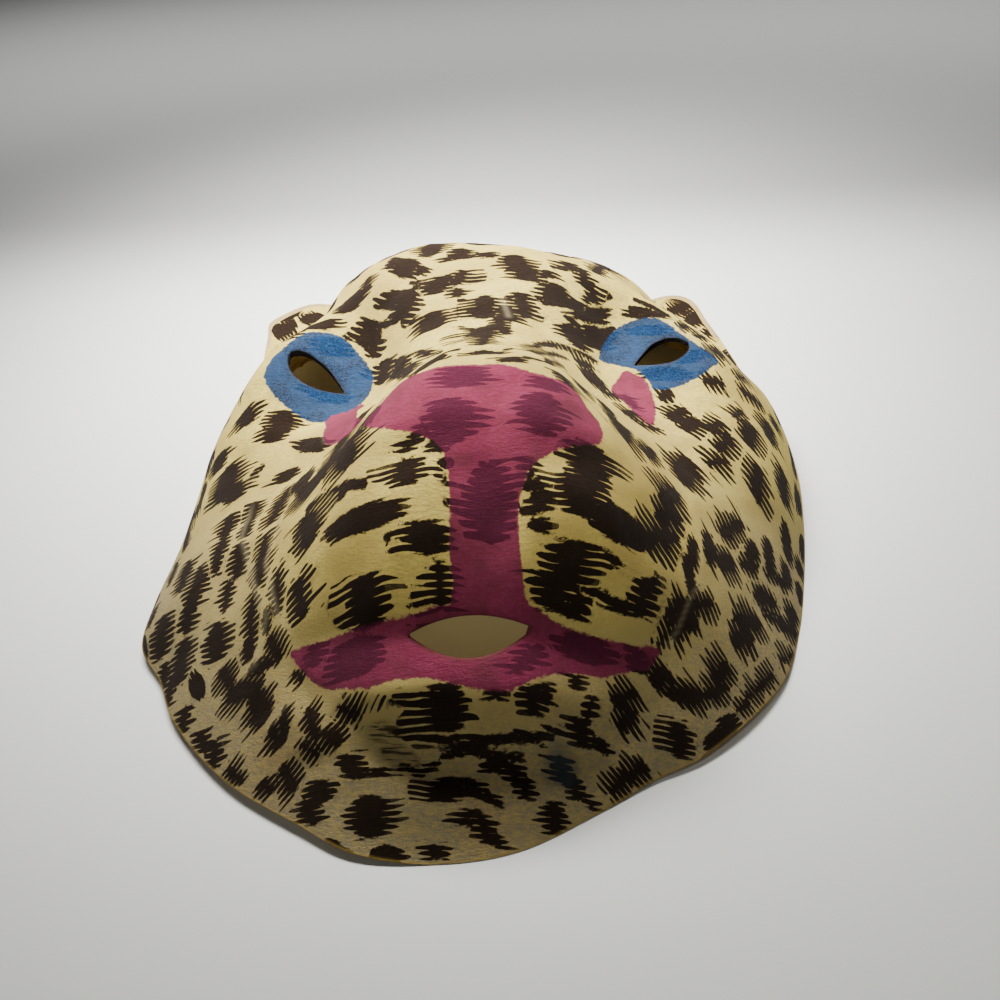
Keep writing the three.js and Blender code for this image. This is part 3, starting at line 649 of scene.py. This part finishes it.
def back_point(xy):
    """The felt's inside under points of the face. At the rim it stays level with the edge."""
    share, _ = share_and_angle(xy[:, 0], xy[:, 1], rim_radius)
    at_rim = (share > 0.9999)[:, None]
    xy = np.where(at_rim, xy, PLAN_CENTRE + (xy - PLAN_CENTRE) * BACK_REACH)
    height = face_height(xy[:, 0], xy[:, 1], creases=False)
    face = np.column_stack([xy, height])
    normal = face_normal(xy[:, 0], xy[:, 1], creases=False)
    sideways = np.maximum(np.hypot(normal[:, 0], normal[:, 1]), 0.01)
    inset = np.minimum(FELT / sideways, RIM_INSET_MOST)
    outward = xy - PLAN_CENTRE
    outward /= np.maximum(np.linalg.norm(outward, axis=1, keepdims=True), 0.01)
    level = np.column_stack([xy - inset[:, None] * outward, height])
    inside = face - FELT * normal
    inside[:, 2] = np.maximum(inside[:, 2], 0.05)
    return np.where(at_rim, level, inside)


def cut_hole(xy, triangles, hole, lift):
    """Cuts a hole's outline out of a surface over the plan. Returns the new plan points and
    triangles, and the outline's points in order round the hole."""
    g = hole_distance(hole, lift(xy))
    near = np.abs(g) < SNAP_WITHIN
    snapped = xy.copy()
    step = SLOPE_STEP
    for _ in range(SNAP_ROUNDS):
        here = snapped[near]
        value = hole_distance(hole, lift(here))
        gx = (hole_distance(hole, lift(here + [step, 0])) - value) / step
        gy = (hole_distance(hole, lift(here + [0, step])) - value) / step
        size = np.maximum(gx**2 + gy**2, 0.05)
        move = np.stack([gx, gy], axis=1) * (value / size)[:, None]
        snapped[near] -= np.clip(move, -SNAP_MOVE_MOST, SNAP_MOVE_MOST)
    xy = snapped
    g = hole_distance(hole, lift(xy))
    g[np.abs(g) < ON_OUTLINE] = 0
    keep_all = (g[triangles] >= 0).all(axis=1)
    mixed = (g[triangles] > 0).any(axis=1) & (g[triangles] < 0).any(axis=1)
    kept = [triangles[keep_all]]
    points = list(xy)
    on_line = {}

    def crossing(a, b):
        key = (min(a, b), max(a, b))
        if key not in on_line:
            t = g[a] / (g[a] - g[b])
            on_line[key] = len(points)
            points.append(xy[a] + t * (xy[b] - xy[a]))
        return on_line[key]

    for corners in triangles[mixed]:
        polygon = []
        for a, b in zip(corners, np.roll(corners, -1)):
            if g[a] >= 0:
                polygon.append(a)
            if g[a] * g[b] < 0:
                polygon.append(crossing(a, b))
        for k in range(1, len(polygon) - 1):
            kept.append(np.array([[polygon[0], polygon[k], polygon[k + 1]]]))
    triangles = np.concatenate(kept)
    xy = np.array(points)
    edges = np.concatenate([triangles[:, [0, 1]], triangles[:, [1, 2]], triangles[:, [2, 0]]])
    together = {tuple(e) for e in edges.tolist()}
    lifted = lift(xy)
    close = np.abs(hole_distance(hole, lifted)) < BORDER_WITHIN
    border = [a for a, b in together if (b, a) not in together and close[a] and close[b]]
    order = np.argsort(loop_turns(hole, lifted, border))
    return xy, triangles, np.array(border)[order]


def strip(first, second, first_turn, second_turn):
    """Triangles between two closed loops that run the same way, matched by their turns."""
    triangles = []
    i = j = 0
    while i < len(first) or j < len(second):
        next_first = first_turn[i + 1] if i + 1 < len(first) else first_turn[0] + 2 * np.pi
        next_second = second_turn[j + 1] if j + 1 < len(second) else second_turn[0] + 2 * np.pi
        a, b = first[i % len(first)], second[j % len(second)]
        if i < len(first) and (j >= len(second) or next_first <= next_second):
            triangles.append((a, first[(i + 1) % len(first)], b))
            i += 1
        else:
            triangles.append((a, second[(j + 1) % len(second)], b))
            j += 1
    return np.array(triangles)


def used_only(xy, triangles, loops):
    """Drops points that no triangle uses."""
    used = np.unique(triangles)
    place = np.full(len(xy), -1)
    place[used] = np.arange(len(used))
    return xy[used], place[triangles], [place[loop] for loop in loops]


def open_surface(rings, lift):
    """One side of the felt with its holes cut: plan points, triangles, rim loop, hole loops."""
    xy, triangles = plan_disc(rings)
    loops = []
    for hole in HOLES:
        xy, triangles, loop = cut_hole(xy, triangles, hole, lift)
        loops.append(loop)
    rim = ring_start(rings) + np.arange(6 * rings)
    xy, triangles, found = used_only(xy, triangles, [rim, *loops])
    return xy, triangles, found[0], found[1:]


def outline_distance(x, y, outline):
    """Distance from a smooth closed outline, negative inside it."""
    curve = closed_curve(outline, 4)
    nearest = np.full(x.shape, 1e9)
    inside = np.zeros(x.shape, bool)
    for (ax, ay), (bx, by) in zip(curve, np.roll(curve, -1, axis=0)):
        length = max((bx - ax) ** 2 + (by - ay) ** 2, 1e-9)
        t = np.clip(((x - ax) * (bx - ax) + (y - ay) * (by - ay)) / length, 0, 1)
        nearest = np.minimum(nearest, np.hypot(x - ax - t * (bx - ax), y - ay - t * (by - ay)))
        crosses = ((ay > y) != (by > y)) & (x < (bx - ax) * (y - ay) / (by - ay + 1e-12) + ax)
        inside ^= crosses
    return np.where(inside, -nearest, nearest)


def oval_distance(u, v, a, b):
    """Rough distance from an oval, negative inside."""
    scaled = np.hypot(u / a, v / b) + 1e-6
    steep = np.hypot(u / a**2, v / b**2) + 1e-6
    return scaled * (scaled - 1) / steep


class Print:
    """The spot pattern at each vertex: distance to the nearest spot, and its brush strokes."""

    def __init__(self, count):
        self.spot = np.full(count, NO_SPOT)
        self.closest = np.full(count, NO_SPOT)
        self.second = np.full(count, NO_SPOT)
        self.across = np.zeros(count)  # in brush strokes
        self.reach = np.zeros(count)
        self.seed = np.zeros(count)
        self.rows = 0

    def add(self, u, v, a, b, along, across, strokes, reach):
        """One oval of a spot. u and v are places in the oval's own axes, along and across
        are places in the strokes' axes, and strokes is the turn between the two."""
        far = oval_distance(u, v, a, b)
        mix = np.clip(0.5 + 0.5 * (self.spot - far) / SPOT_BLEND, 0, 1)
        self.spot = self.spot * (1 - mix) + far * mix - SPOT_BLEND * mix * (1 - mix)
        slope = np.stack([u / a**2, v / b**2])
        slope /= np.linalg.norm(slope, axis=0) + 1e-9
        c, s = np.cos(np.radians(strokes)), np.sin(np.radians(strokes))
        facing = c * slope[0] + s * slope[1]
        closer = far < self.closest
        self.second = np.where(closer, self.closest, np.minimum(self.second, far))
        self.closest = np.where(closer, far, self.closest)
        self.across = np.where(closer, across, self.across)
        self.reach = np.where(closer, reach * np.abs(facing) ** 1.3, self.reach)
        side = self.rows + np.where(along > 0, 0.5, 0.0)
        self.seed = np.where(closer, side, self.seed)
        self.rows += 1

    def free_reach(self):
        """The strokes' reach, less where they would run into those of a neighbour."""
        return self.reach * smoothstep(self.second - self.closest, 0.15, 1.5)


def face_print(x, y, points):
    """The listed spots and streaks of the print. Seeded ones on the sides that the photograph
    hides are added apart from this.
    """
    field = Print(len(x))
    for group in SPOTS:
        strokes = group["strokes"]
        low = np.mean([-row[1] for row in group["rows"]])
        pitch = STROKE_PITCH - FINER_STROKES * smoothstep(low, 10, 85)
        for cx, cy, a, b, turn in group["rows"]:
            u, v = turned(x, y, cx, cy, turn)
            along, _ = turned(x, y, cx, cy, strokes)
            _, across = turned(x, y, 0, 0, strokes)
            reach = group["reach"] * STROKE_REACH * min(1, a / FULL_REACH_AT)
            field.add(u, v, a, b, along, across / pitch, strokes - turn, reach)
    for half, route in STREAKS:
        away, place = route_distance(x, y, route)
        narrow = half * (0.45 + 0.55 * np.sqrt(np.clip(4 * place * (1 - place), 0, 1)))
        field.spot = np.minimum(field.spot, away - narrow)
    return field


def hidden_spots(field, x, y, points, normals):
    """Fills the walls that the photograph hides with spots of the same kind, laid out on the
    surface itself."""
    random = np.random.default_rng(HIDDEN_SEED)
    share, _ = share_and_angle(x, y)
    sight = np.array(CAMERA_AT) - points
    away = np.sum(sight * normals, axis=1) < 0.1 * np.linalg.norm(sight, axis=1)
    bare = field.spot > HIDDEN_CLEAR
    hidden = np.flatnonzero(bare & ((share > 0.88) | (y > 88) | away))
    chosen = []
    for i in random.permutation(hidden)[:HIDDEN_TRIES]:
        if all(np.linalg.norm(points[i] - points[k]) > HIDDEN_GAP for k in chosen):
            chosen.append(i)
    for i in chosen:
        normal = normals[i]
        level = np.cross([0, 0, 1], normal)
        level /= np.linalg.norm(level) + 1e-9
        uphill = np.cross(normal, level)
        offset = points - points[i]
        near = np.linalg.norm(offset, axis=1) < HIDDEN_EXTENT
        for _ in range(2):
            dx, dy = random.uniform(-3, 3, 2)
            u = offset @ level - dx
            v = offset @ uphill - dy
            u[~near] = 2 * NO_SPOT
            a, b = random.uniform(3.4, 6.4), random.uniform(2.4, 4.2)
            field.add(u, v, a, b, u, (v + 40) / STROKE_PITCH, 0, HIDDEN_REACH)


def attribute(mesh, name, values):
    layer = mesh.attributes.new(name, "FLOAT", "POINT")
    layer.data.foreach_set("value", np.asarray(values, np.float32))


def route_glow(x, y, lines):
    """How near plan points are to some lines, 1 on a line and 0 away from it."""
    glow = np.zeros(x.shape)
    for half, route in lines:
        away, place = route_distance(x, y, route)
        fade = smoothstep(place, 0, 0.15) * (1 - smoothstep(place, 0.85, 1))
        glow = np.maximum(glow, fade * np.exp(-((away / half) ** 2)))
    return glow


def paint_attributes(mesh, points, normals):
    """Stores the print and paint at each vertex, for the material."""
    x, y = points[:, 0], points[:, 1]
    field = face_print(x, y, points)
    hidden_spots(field, x, y, points, normals)
    chin = smoothstep(-y, CHIN_FROM, CHIN_TO)
    growth = SPOT_GROWTH - (SPOT_GROWTH - CHIN_GROWTH) * chin
    attribute(mesh, "spot", field.spot - growth)
    attribute(mesh, "across", field.across)
    attribute(mesh, "reach", field.free_reach())
    attribute(mesh, "stroke_seed", field.seed)
    blue = np.minimum(outline_distance(x, y, LEFT_RING), outline_distance(x, y, RIGHT_RING))
    pink = outline_distance(x, y, NOSE)
    for outline in (LIPS, LEFT_TEAR, RIGHT_TEAR):
        pink = np.minimum(pink, outline_distance(x, y, outline))
    attribute(mesh, "blue", blue)
    attribute(mesh, "pink", pink)
    attribute(mesh, "pale", route_glow(x, y, PALE_LINES))
    ink = np.hypot(x - INK_STAIN[0], y - INK_STAIN[1]) / INK_STAIN[2]
    attribute(mesh, "ink", np.exp(-(ink**4)))
    tea = sum(np.exp(-(((x - cx) ** 2 + (y - cy) ** 2) / r**2)) for cx, cy, r in TEA_STAINS)
    attribute(mesh, "tea", tea)
    smear = [oval_distance(*turned(x, y, cx, cy, turn), a, b) for cx, cy, a, b, turn in SMEARED]
    attribute(mesh, "smear", np.min(smear, axis=0))
    edge = (1 - share_and_angle(x, y, rim_radius)[0]) * np.hypot(x, y)
    for hole in HOLES:
        edge = np.minimum(edge, np.maximum(hole_distance(hole, points), 0))
    attribute(mesh, "edge", edge)


def centring():
    """The shift that puts the middle of the rim's box over the origin, as the solid has it."""
    xy, _ = plan_disc(CENTRING_RINGS)
    return np.array([-(xy[:, k].min() + xy[:, k].max()) / 2 for k in (0, 1)] + [0])


SHIFT = centring()


def mask_object():
    """The whole felt as one closed mesh: printed face, plain back, cut rim and hole edges."""
    face_xy, face_tris, face_rim, face_loops = open_surface(FACE_RINGS, face_point)
    back_xy, back_tris, back_rim, back_loops = open_surface(BACK_RINGS, back_point)
    face = face_point(face_xy)
    normals = face_normal(face_xy[:, 0], face_xy[:, 1])
    for hole in HOLES:
        away = np.maximum(hole_distance(hole, face), 0) / HOLE_ROLL_WIDTH
        roll = HOLE_ROLL * np.exp(-away ** 2)
        face -= normals * roll[:, None]
    back = back_point(back_xy)
    count = len(face)
    parts = [face_tris, back_tris[:, ::-1] + count]
    rim_turn = 2 * np.pi * np.arange(len(face_rim)) / len(face_rim)
    back_turn = 2 * np.pi * np.arange(len(back_rim)) / len(back_rim)
    walls = [strip(face_rim, back_rim + count, rim_turn, back_turn)[:, ::-1]]
    for hole, outer, inner in zip(HOLES, face_loops, back_loops):
        walls.append(strip(outer, inner + count, loop_turns(hole, face, outer),
                           loop_turns(hole, back, inner)))
    edge_count = sum(len(w) for w in walls)
    triangles = np.concatenate([*parts, *walls])
    points = np.concatenate([face, back])
    all_normals = np.concatenate([normals, face_normal(back_xy[:, 0], back_xy[:, 1])])
    mesh = bpy.data.meshes.new("mask_plush")
    mesh.vertices.add(len(points))
    mesh.vertices.foreach_set("co", ((points + SHIFT) * MM).ravel().astype(np.float32))
    mesh.loops.add(3 * len(triangles))
    mesh.loops.foreach_set("vertex_index", triangles.ravel().astype(np.int32))
    mesh.polygons.add(len(triangles))
    mesh.polygons.foreach_set("loop_start", np.arange(0, 3 * len(triangles), 3, dtype=np.int32))
    material = np.zeros(len(triangles), np.int32)
    material[len(face_tris):len(face_tris) + len(back_tris)] = 1
    material[len(triangles) - edge_count:] = 2
    mesh.polygons.foreach_set("material_index", material)
    mesh.update(calc_edges=True)
    mesh.polygons.foreach_set("use_smooth", np.ones(len(triangles), bool))
    mesh.set_sharp_from_angle(angle=np.radians(55))
    paint_attributes(mesh, points, all_normals)
    mesh.validate()
    mask = bpy.data.objects.new("mask_plush", mesh)
    bpy.context.scene.collection.objects.link(mask)
    return mask


class Nodes:
    """Short names for building a material's nodes."""

    def __init__(self, name):
        self.material = bpy.data.materials.new(name)
        self.material.use_nodes = True
        self.tree = self.material.node_tree
        self.shader = self.tree.nodes["Principled BSDF"]
        coordinates = self.tree.nodes.new("ShaderNodeTexCoord")
        self.place = self.vector("SCALE", coordinates.outputs["Object"], scale=1 / MM)

    def felt(self, sheen=0.0):
        """Matt fibres."""
        inputs = self.shader.inputs
        inputs["Roughness"].default_value = 0.93
        inputs["Specular IOR Level"].default_value = 0.08
        inputs["Sheen Weight"].default_value = sheen
        inputs["Sheen Roughness"].default_value = 0.45

    def put(self, socket, value):
        if isinstance(value, bpy.types.NodeSocket):
            self.tree.links.new(value, socket)
        else:
            socket.default_value = value

    def math(self, operation, *values, clamp=False):
        node = self.tree.nodes.new("ShaderNodeMath")
        node.operation = operation
        node.use_clamp = clamp
        for socket, value in zip(node.inputs, values):
            self.put(socket, value)
        return node.outputs[0]

    def vector(self, operation, first, second=None, scale=None):
        node = self.tree.nodes.new("ShaderNodeVectorMath")
        node.operation = operation
        self.put(node.inputs[0], first)
        if second is not None:
            self.put(node.inputs[1], second)
        if scale is not None:
            self.put(node.inputs["Scale"], scale)
        return node.outputs[0]

    def attribute(self, name):
        node = self.tree.nodes.new("ShaderNodeAttribute")
        node.attribute_name = name
        return node.outputs["Fac"]

    def noise(self, per_mm, detail=2.0, stretch=(1, 1, 1), roughness=0.5):
        node = self.tree.nodes.new("ShaderNodeTexNoise")
        node.inputs["Scale"].default_value = per_mm
        node.inputs["Detail"].default_value = detail
        node.inputs["Roughness"].default_value = roughness
        self.put(node.inputs["Vector"], self.vector("MULTIPLY", self.place, stretch))
        return node.outputs["Fac"]

    def random(self, first, second):
        node = self.tree.nodes.new("ShaderNodeTexWhiteNoise")
        node.noise_dimensions = "2D"
        both = self.tree.nodes.new("ShaderNodeCombineXYZ")
        self.put(both.inputs[0], first)
        self.put(both.inputs[1], second)
        self.put(node.inputs["Vector"], both.outputs[0])
        return node.outputs["Value"]

    def span(self, value, low, high, to_low=0.0, to_high=1.0):
        node = self.tree.nodes.new("ShaderNodeMapRange")
        node.interpolation_type = "SMOOTHSTEP"
        for socket, number in zip(node.inputs, (value, low, high, to_low, to_high)):
            self.put(socket, number)
        return node.outputs["Result"]

    def mix(self, share, first, second):
        node = self.tree.nodes.new("ShaderNodeMix")
        node.data_type = "RGBA"
        self.put(node.inputs["Factor"], share)
        self.put(node.inputs["A"], first)
        self.put(node.inputs["B"], second)
        return node.outputs["Result"]

    def coordinate(self, axis):
        parts = self.tree.nodes.new("ShaderNodeSeparateXYZ")
        self.put(parts.inputs[0], self.place)
        return parts.outputs[axis]

    def bump(self, height, distance, strength=1.0, normal=None):
        node = self.tree.nodes.new("ShaderNodeBump")
        node.inputs["Distance"].default_value = distance * MM
        node.inputs["Strength"].default_value = strength
        self.put(node.inputs["Height"], height)
        if normal is not None:
            self.put(node.inputs["Normal"], normal)
        return node.outputs["Normal"]


def colour(red, green, blue):
    """A colour given by its 0 to 255 screen values."""
    channels = np.array([red, green, blue]) / 255
    linear = np.where(channels < 0.04045, channels / 12.92, ((channels + 0.055) / 1.055) ** 2.4)
    return (*linear.tolist(), 1.0)


CREAM = colour(232, 209, 106)
CREAM_DEEP = colour(178, 148, 72)
CREAM_SHADE = colour(192, 166, 96)
# Greyer, darker cream, painted as shade on the low front of the face
LOW_PAINTED_SHADE_CREAM = colour(138, 130, 106)
BROWN = colour(33, 22, 13)
BROWN_LIGHT = colour(62, 48, 33)
PINK = colour(126, 30, 70)
PINK_LIGHT = colour(136, 48, 84)
PURPLE = colour(72, 28, 44)
BLUE = colour(16, 56, 98)
BLUE_LIGHT = colour(34, 72, 112)
NAVY = colour(10, 20, 34)
BACK = colour(196, 170, 108)
WHITE_FELT = colour(218, 204, 160)
BACK_SHADE = colour(172, 146, 88)
BACK_PRINT = colour(96, 74, 42)
TEA = colour(150, 108, 60)
INK = colour(58, 66, 72)
RIM_PALE = colour(190, 168, 110)
RIM_DEEP = colour(112, 90, 50)
# Dark olive-brown, painted as shade on the holes' cut edges, like the dim hollow seen through them
HOLE_SHADE_PALE = colour(96, 78, 44)
HOLE_SHADE_DEEP = colour(50, 38, 20)
FLOOR_PAINT = colour(226, 227, 222)
# Grey painted as shade on the floor far behind the mask
FAR_PAINTED_SHADE = colour(166, 166, 164)


# Cut edges higher than this are a hole's, and lower ones the rim's
HOLES_FROM = (22.0, 30.0)


def stroke_mask(m):
    """The dark print: spots whose ends break up into separate brush strokes."""
    wobble = m.math("MULTIPLY_ADD", m.noise(0.08, 1.0), 1.3, -0.65)
    place = m.math("ADD", m.attribute("across"), wobble)
    row = m.math("FLOOR", place)
    centred = m.math("SUBTRACT", m.math("FRACT", place), 0.5)
    aside = m.math("MULTIPLY", m.math("ABSOLUTE", centred), 2.0)
    side = m.math("FLOOR", m.math("MULTIPLY", m.attribute("stroke_seed"), 2.0))
    tip = m.math("MULTIPLY_ADD", m.random(row, side), 1.15, -0.12)
    narrowing = m.math("POWER", m.math("DIVIDE", aside, 0.78), 1.25)
    tooth = m.math("SUBTRACT", 1.0, narrowing, clamp=True)
    out = m.math("MULTIPLY", m.math("MAXIMUM", tip, 0.0), tooth)
    out = m.math("ADD", out, m.math("MINIMUM", tip, 0.0))
    depth = m.math("MULTIPLY_ADD", m.random(m.math("ADD", row, 57.0), side), 0.5, 0.08)
    slit = m.math("MULTIPLY", m.span(aside, 0.6, 1.0), depth)
    teeth = m.math("MULTIPLY", m.math("SUBTRACT", out, slit), m.attribute("reach"))
    ragged = m.math("MULTIPLY_ADD", m.noise(1.1, 4.0, (0.6, 1, 1), 0.7), 1.8, -0.9)
    level = m.math("ADD", m.math("SUBTRACT", m.attribute("spot"), teeth), ragged)
    return m.span(level, -0.2, 0.22, 1.0, 0.0)


def plush_material():
    """Short-nap plush: cream ground, dark strokes, and paint over both, with painted shade towards
    the chin and on the low sides, and round the holes' edges.
    """
    m = Nodes("printed_plush_face")
    dark = stroke_mask(m)
    cloud = m.span(m.noise(0.035, 3.0), 0.35, 0.68)
    nap = m.noise(0.95, 4.0, (0.55, 1.2, 1.2), 0.82)
    grain = m.noise(4.5, 2.0)
    cream = m.mix(m.math("MULTIPLY", cloud, 0.55), CREAM, CREAM_DEEP)
    # Painted shade: the cream turns greyer and darker towards the chin and on the low sides, where
    # the front of the mask lies in shade
    lower = m.span(m.coordinate("Y"), 10.0, -60.0)
    low_painted_shade = m.math("MULTIPLY", lower, m.span(m.coordinate("Z"), 66.0, 4.0, 0.1, 0.95))
    cream = m.mix(low_painted_shade, cream, LOW_PAINTED_SHADE_CREAM)
    cream = m.mix(m.math("MULTIPLY", m.attribute("tea"), 0.28), cream, TEA)
    cream = m.mix(m.span(nap, 0.42, 0.62, 0.0, 0.62), cream, CREAM_SHADE)
    cream = m.mix(m.span(m.noise(0.4, 3.0), 0.45, 0.62, 0.0, 0.3), cream, CREAM_SHADE)
    brown = m.mix(m.span(grain, 0.5, 0.8, 0.0, 0.7), BROWN, BROWN_LIGHT)
    smear = m.span(m.attribute("smear"), 0.6, -1.2)
    waves = m.span(m.noise(0.9, 2.0, (0.12, 1.2, 1.2)), 0.4, 0.6, 0.15, 0.9)
    dark = m.math("MAXIMUM", dark, m.math("MULTIPLY", smear, waves))
    printed = m.mix(dark, cream, brown)
    printed = m.mix(m.math("MULTIPLY", m.attribute("pale"), 0.16), printed, WHITE_FELT)
    printed = m.mix(m.math("MULTIPLY", m.attribute("ink"), 0.6), printed, INK)
    edge_wander = m.math("MULTIPLY_ADD", m.noise(0.7, 2.0), 1.6, -0.8)
    pink_area = m.span(m.math("ADD", m.attribute("pink"), edge_wander), -0.3, 0.3, 1.0, 0.0)
    pink = m.mix(m.span(nap, 0.4, 0.72), PINK, PINK_LIGHT)
    pink = m.mix(m.span(m.noise(0.12, 2.0), 0.45, 0.7, 0.0, 0.35), pink, PURPLE)
    pink = m.mix(m.math("MULTIPLY", dark, m.span(grain, 0.35, 0.7, 0.95, 0.6)), pink, PURPLE)
    blue_area = m.span(m.math("ADD", m.attribute("blue"), edge_wander), -0.3, 0.3, 1.0, 0.0)
    blue = m.mix(m.span(nap, 0.4, 0.64), BLUE, BLUE_LIGHT)
    speckle = m.span(m.noise(1.6, 3.0), 0.4, 0.66)
    patches = m.span(m.noise(0.1, 2.0), 0.42, 0.6, 0.2, 0.85)
    patches = m.math("MAXIMUM", patches, m.math("MULTIPLY", dark, 0.75))
    blue = m.mix(m.math("MULTIPLY", speckle, patches), blue, NAVY)
    painted = m.mix(m.math("MULTIPLY", pink_area, 0.96), printed, pink)
    painted = m.mix(m.math("MULTIPLY", blue_area, 0.97), painted, blue)
    # Next to the cut edges the face turns a deeper cream at the rim, and a darker brown round the
    # holes as painted shade
    cut = m.math("MULTIPLY", m.span(m.attribute("edge"), 0.9, 0.1), 0.5)
    rim_or_hole = m.span(m.coordinate("Z"), *HOLES_FROM)
    painted = m.mix(cut, painted, m.mix(rim_or_hole, CREAM_DEEP, BROWN_LIGHT))
    m.put(m.shader.inputs["Base Color"], painted)
    m.felt(0.03)
    soft = m.bump(nap, 1.1, 0.9)
    m.put(m.shader.inputs["Normal"], m.bump(grain, 0.2, 0.8, soft))
    return m.material


def back_material():
    """The unprinted inside of the felt, with the print faintly showing through."""
    m = Nodes("printed_plush_back")
    fibre = m.noise(1.1, 4.0, (0.4, 1, 1), 0.6)
    shade = m.mix(m.span(fibre, 0.35, 0.7), BACK, BACK_SHADE)
    through = m.span(m.attribute("spot"), -1.5, 1.5, 0.35, 0.0)
    m.put(m.shader.inputs["Base Color"], m.mix(through, shade, BACK_PRINT))
    m.felt()
    m.put(m.shader.inputs["Normal"], m.bump(fibre, 0.3, 0.7))
    return m.material


def edge_material():
    """The cut edge: pale loose fibres at the rim, and painted shade on the holes' edges, stained
    by the paint beside them.
    """
    m = Nodes("printed_plush_edge")
    fibre = m.noise(2.6, 3.0, (1, 1, 0.5), 0.65)
    rim = m.mix(m.span(fibre, 0.35, 0.7), RIM_PALE, RIM_DEEP)
    # Painted shade: the holes' cut edges are coloured dark, while the rim's cut edges of the same
    # felt stay pale
    hole_edge_shade = m.mix(m.span(fibre, 0.35, 0.7), HOLE_SHADE_PALE, HOLE_SHADE_DEEP)
    felt = m.mix(m.span(m.coordinate("Z"), *HOLES_FROM), rim, hole_edge_shade)
    felt = m.mix(m.span(m.attribute("pink"), 0.5, -0.5, 0.0, 0.5), felt, PINK)
    felt = m.mix(m.span(m.attribute("blue"), 0.5, -0.5, 0.0, 0.85), felt, NAVY)
    m.put(m.shader.inputs["Base Color"], felt)
    m.felt()
    m.put(m.shader.inputs["Normal"], m.bump(fibre, 0.3, 0.8))
    return m.material


def dress_mask():
    mask = mask_object()
    mask.data.materials.append(plush_material())
    mask.data.materials.append(back_material())
    mask.data.materials.append(edge_material())
    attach(mask, "root")
    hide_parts("mask_shell")


def add_camera():
    down, yaw, roll = (np.radians(a) for a in (CAMERA_DOWN, CAMERA_YAW, CAMERA_ROLL))
    turn = np.array([[np.cos(yaw), -np.sin(yaw), 0], [np.sin(yaw), np.cos(yaw), 0], [0, 0, 1]])
    forward = turn @ [0, np.cos(down), -np.sin(down)]
    level = turn @ [1, 0, 0]
    upward = turn @ [0, np.sin(down), np.cos(down)]
    right = np.cos(roll) * level + np.sin(roll) * upward
    up = np.cos(roll) * upward - np.sin(roll) * level
    data = bpy.data.cameras.new("camera")
    data.sensor_width = SENSOR
    data.lens = SENSOR * FOCAL_SHARE
    data.clip_start = 0.01
    camera = bpy.data.objects.new("camera", data)
    matrix = Matrix([[*row] for row in np.column_stack([right, up, -forward])]).to_4x4()
    matrix.translation = [float(v) for v in (np.array(CAMERA_AT) + SHIFT) * MM]
    camera.matrix_world = matrix
    bpy.context.scene.collection.objects.link(camera)
    bpy.context.scene.camera = camera


def add_light(name, at, toward, sizes, spread, watts, tint):
    """A rectangle that shines from one place toward another, in metres. Its light keeps
    within the spread in degrees."""
    data = bpy.data.lights.new(name, "AREA")
    data.shape = "RECTANGLE"
    data.size, data.size_y = sizes
    data.spread = np.radians(spread)
    data.energy = watts
    data.color = tint
    away = np.array(at, float) - toward
    away /= np.linalg.norm(away)
    side = np.cross([0, 1, 0], away)
    side /= np.linalg.norm(side)
    turn = np.column_stack([side, np.cross(away, side), away])
    light = bpy.data.objects.new(name, data)
    matrix = Matrix([[*map(float, row)] for row in turn]).to_4x4()
    matrix.translation = at
    light.matrix_world = matrix
    bpy.context.scene.collection.objects.link(light)


def add_stage():
    """A wide pale floor, so that every other view stands over it too, painted darker far behind
    the mask as painted shade, and soft light.
    """
    half = FLOOR_HALF
    corners = [(-half, -half), (half, -half), (half, half), (-half, half)]
    mesh = bpy.data.meshes.new("floor")
    mesh.from_pydata([(x, y, -FLOOR_DROP) for x, y in corners], [], [(0, 1, 2, 3)])
    floor = bpy.data.objects.new("floor", mesh)
    bpy.context.scene.collection.objects.link(floor)
    m = Nodes("floor_paint_and_far_shade")
    # Painted shade: the floor's paint darkens far behind the mask
    far = m.span(m.coordinate("Y"), FAR_FROM, FAR_TO)
    m.put(m.shader.inputs["Base Color"], m.mix(far, FLOOR_PAINT, FAR_PAINTED_SHADE))
    m.shader.inputs["Roughness"].default_value = FLOOR_ROUGHNESS
    mesh.materials.append(m.material)
    world = bpy.data.worlds.new("world")
    world.use_nodes = True
    background = world.node_tree.nodes["Background"]
    background.inputs["Color"].default_value = WORLD_COLOUR
    background.inputs["Strength"].default_value = WORLD_STRENGTH
    bpy.context.scene.world = world
    for lamp in LAMPS:
        add_light(*lamp)


add_camera()
dress_mask()
add_stage()
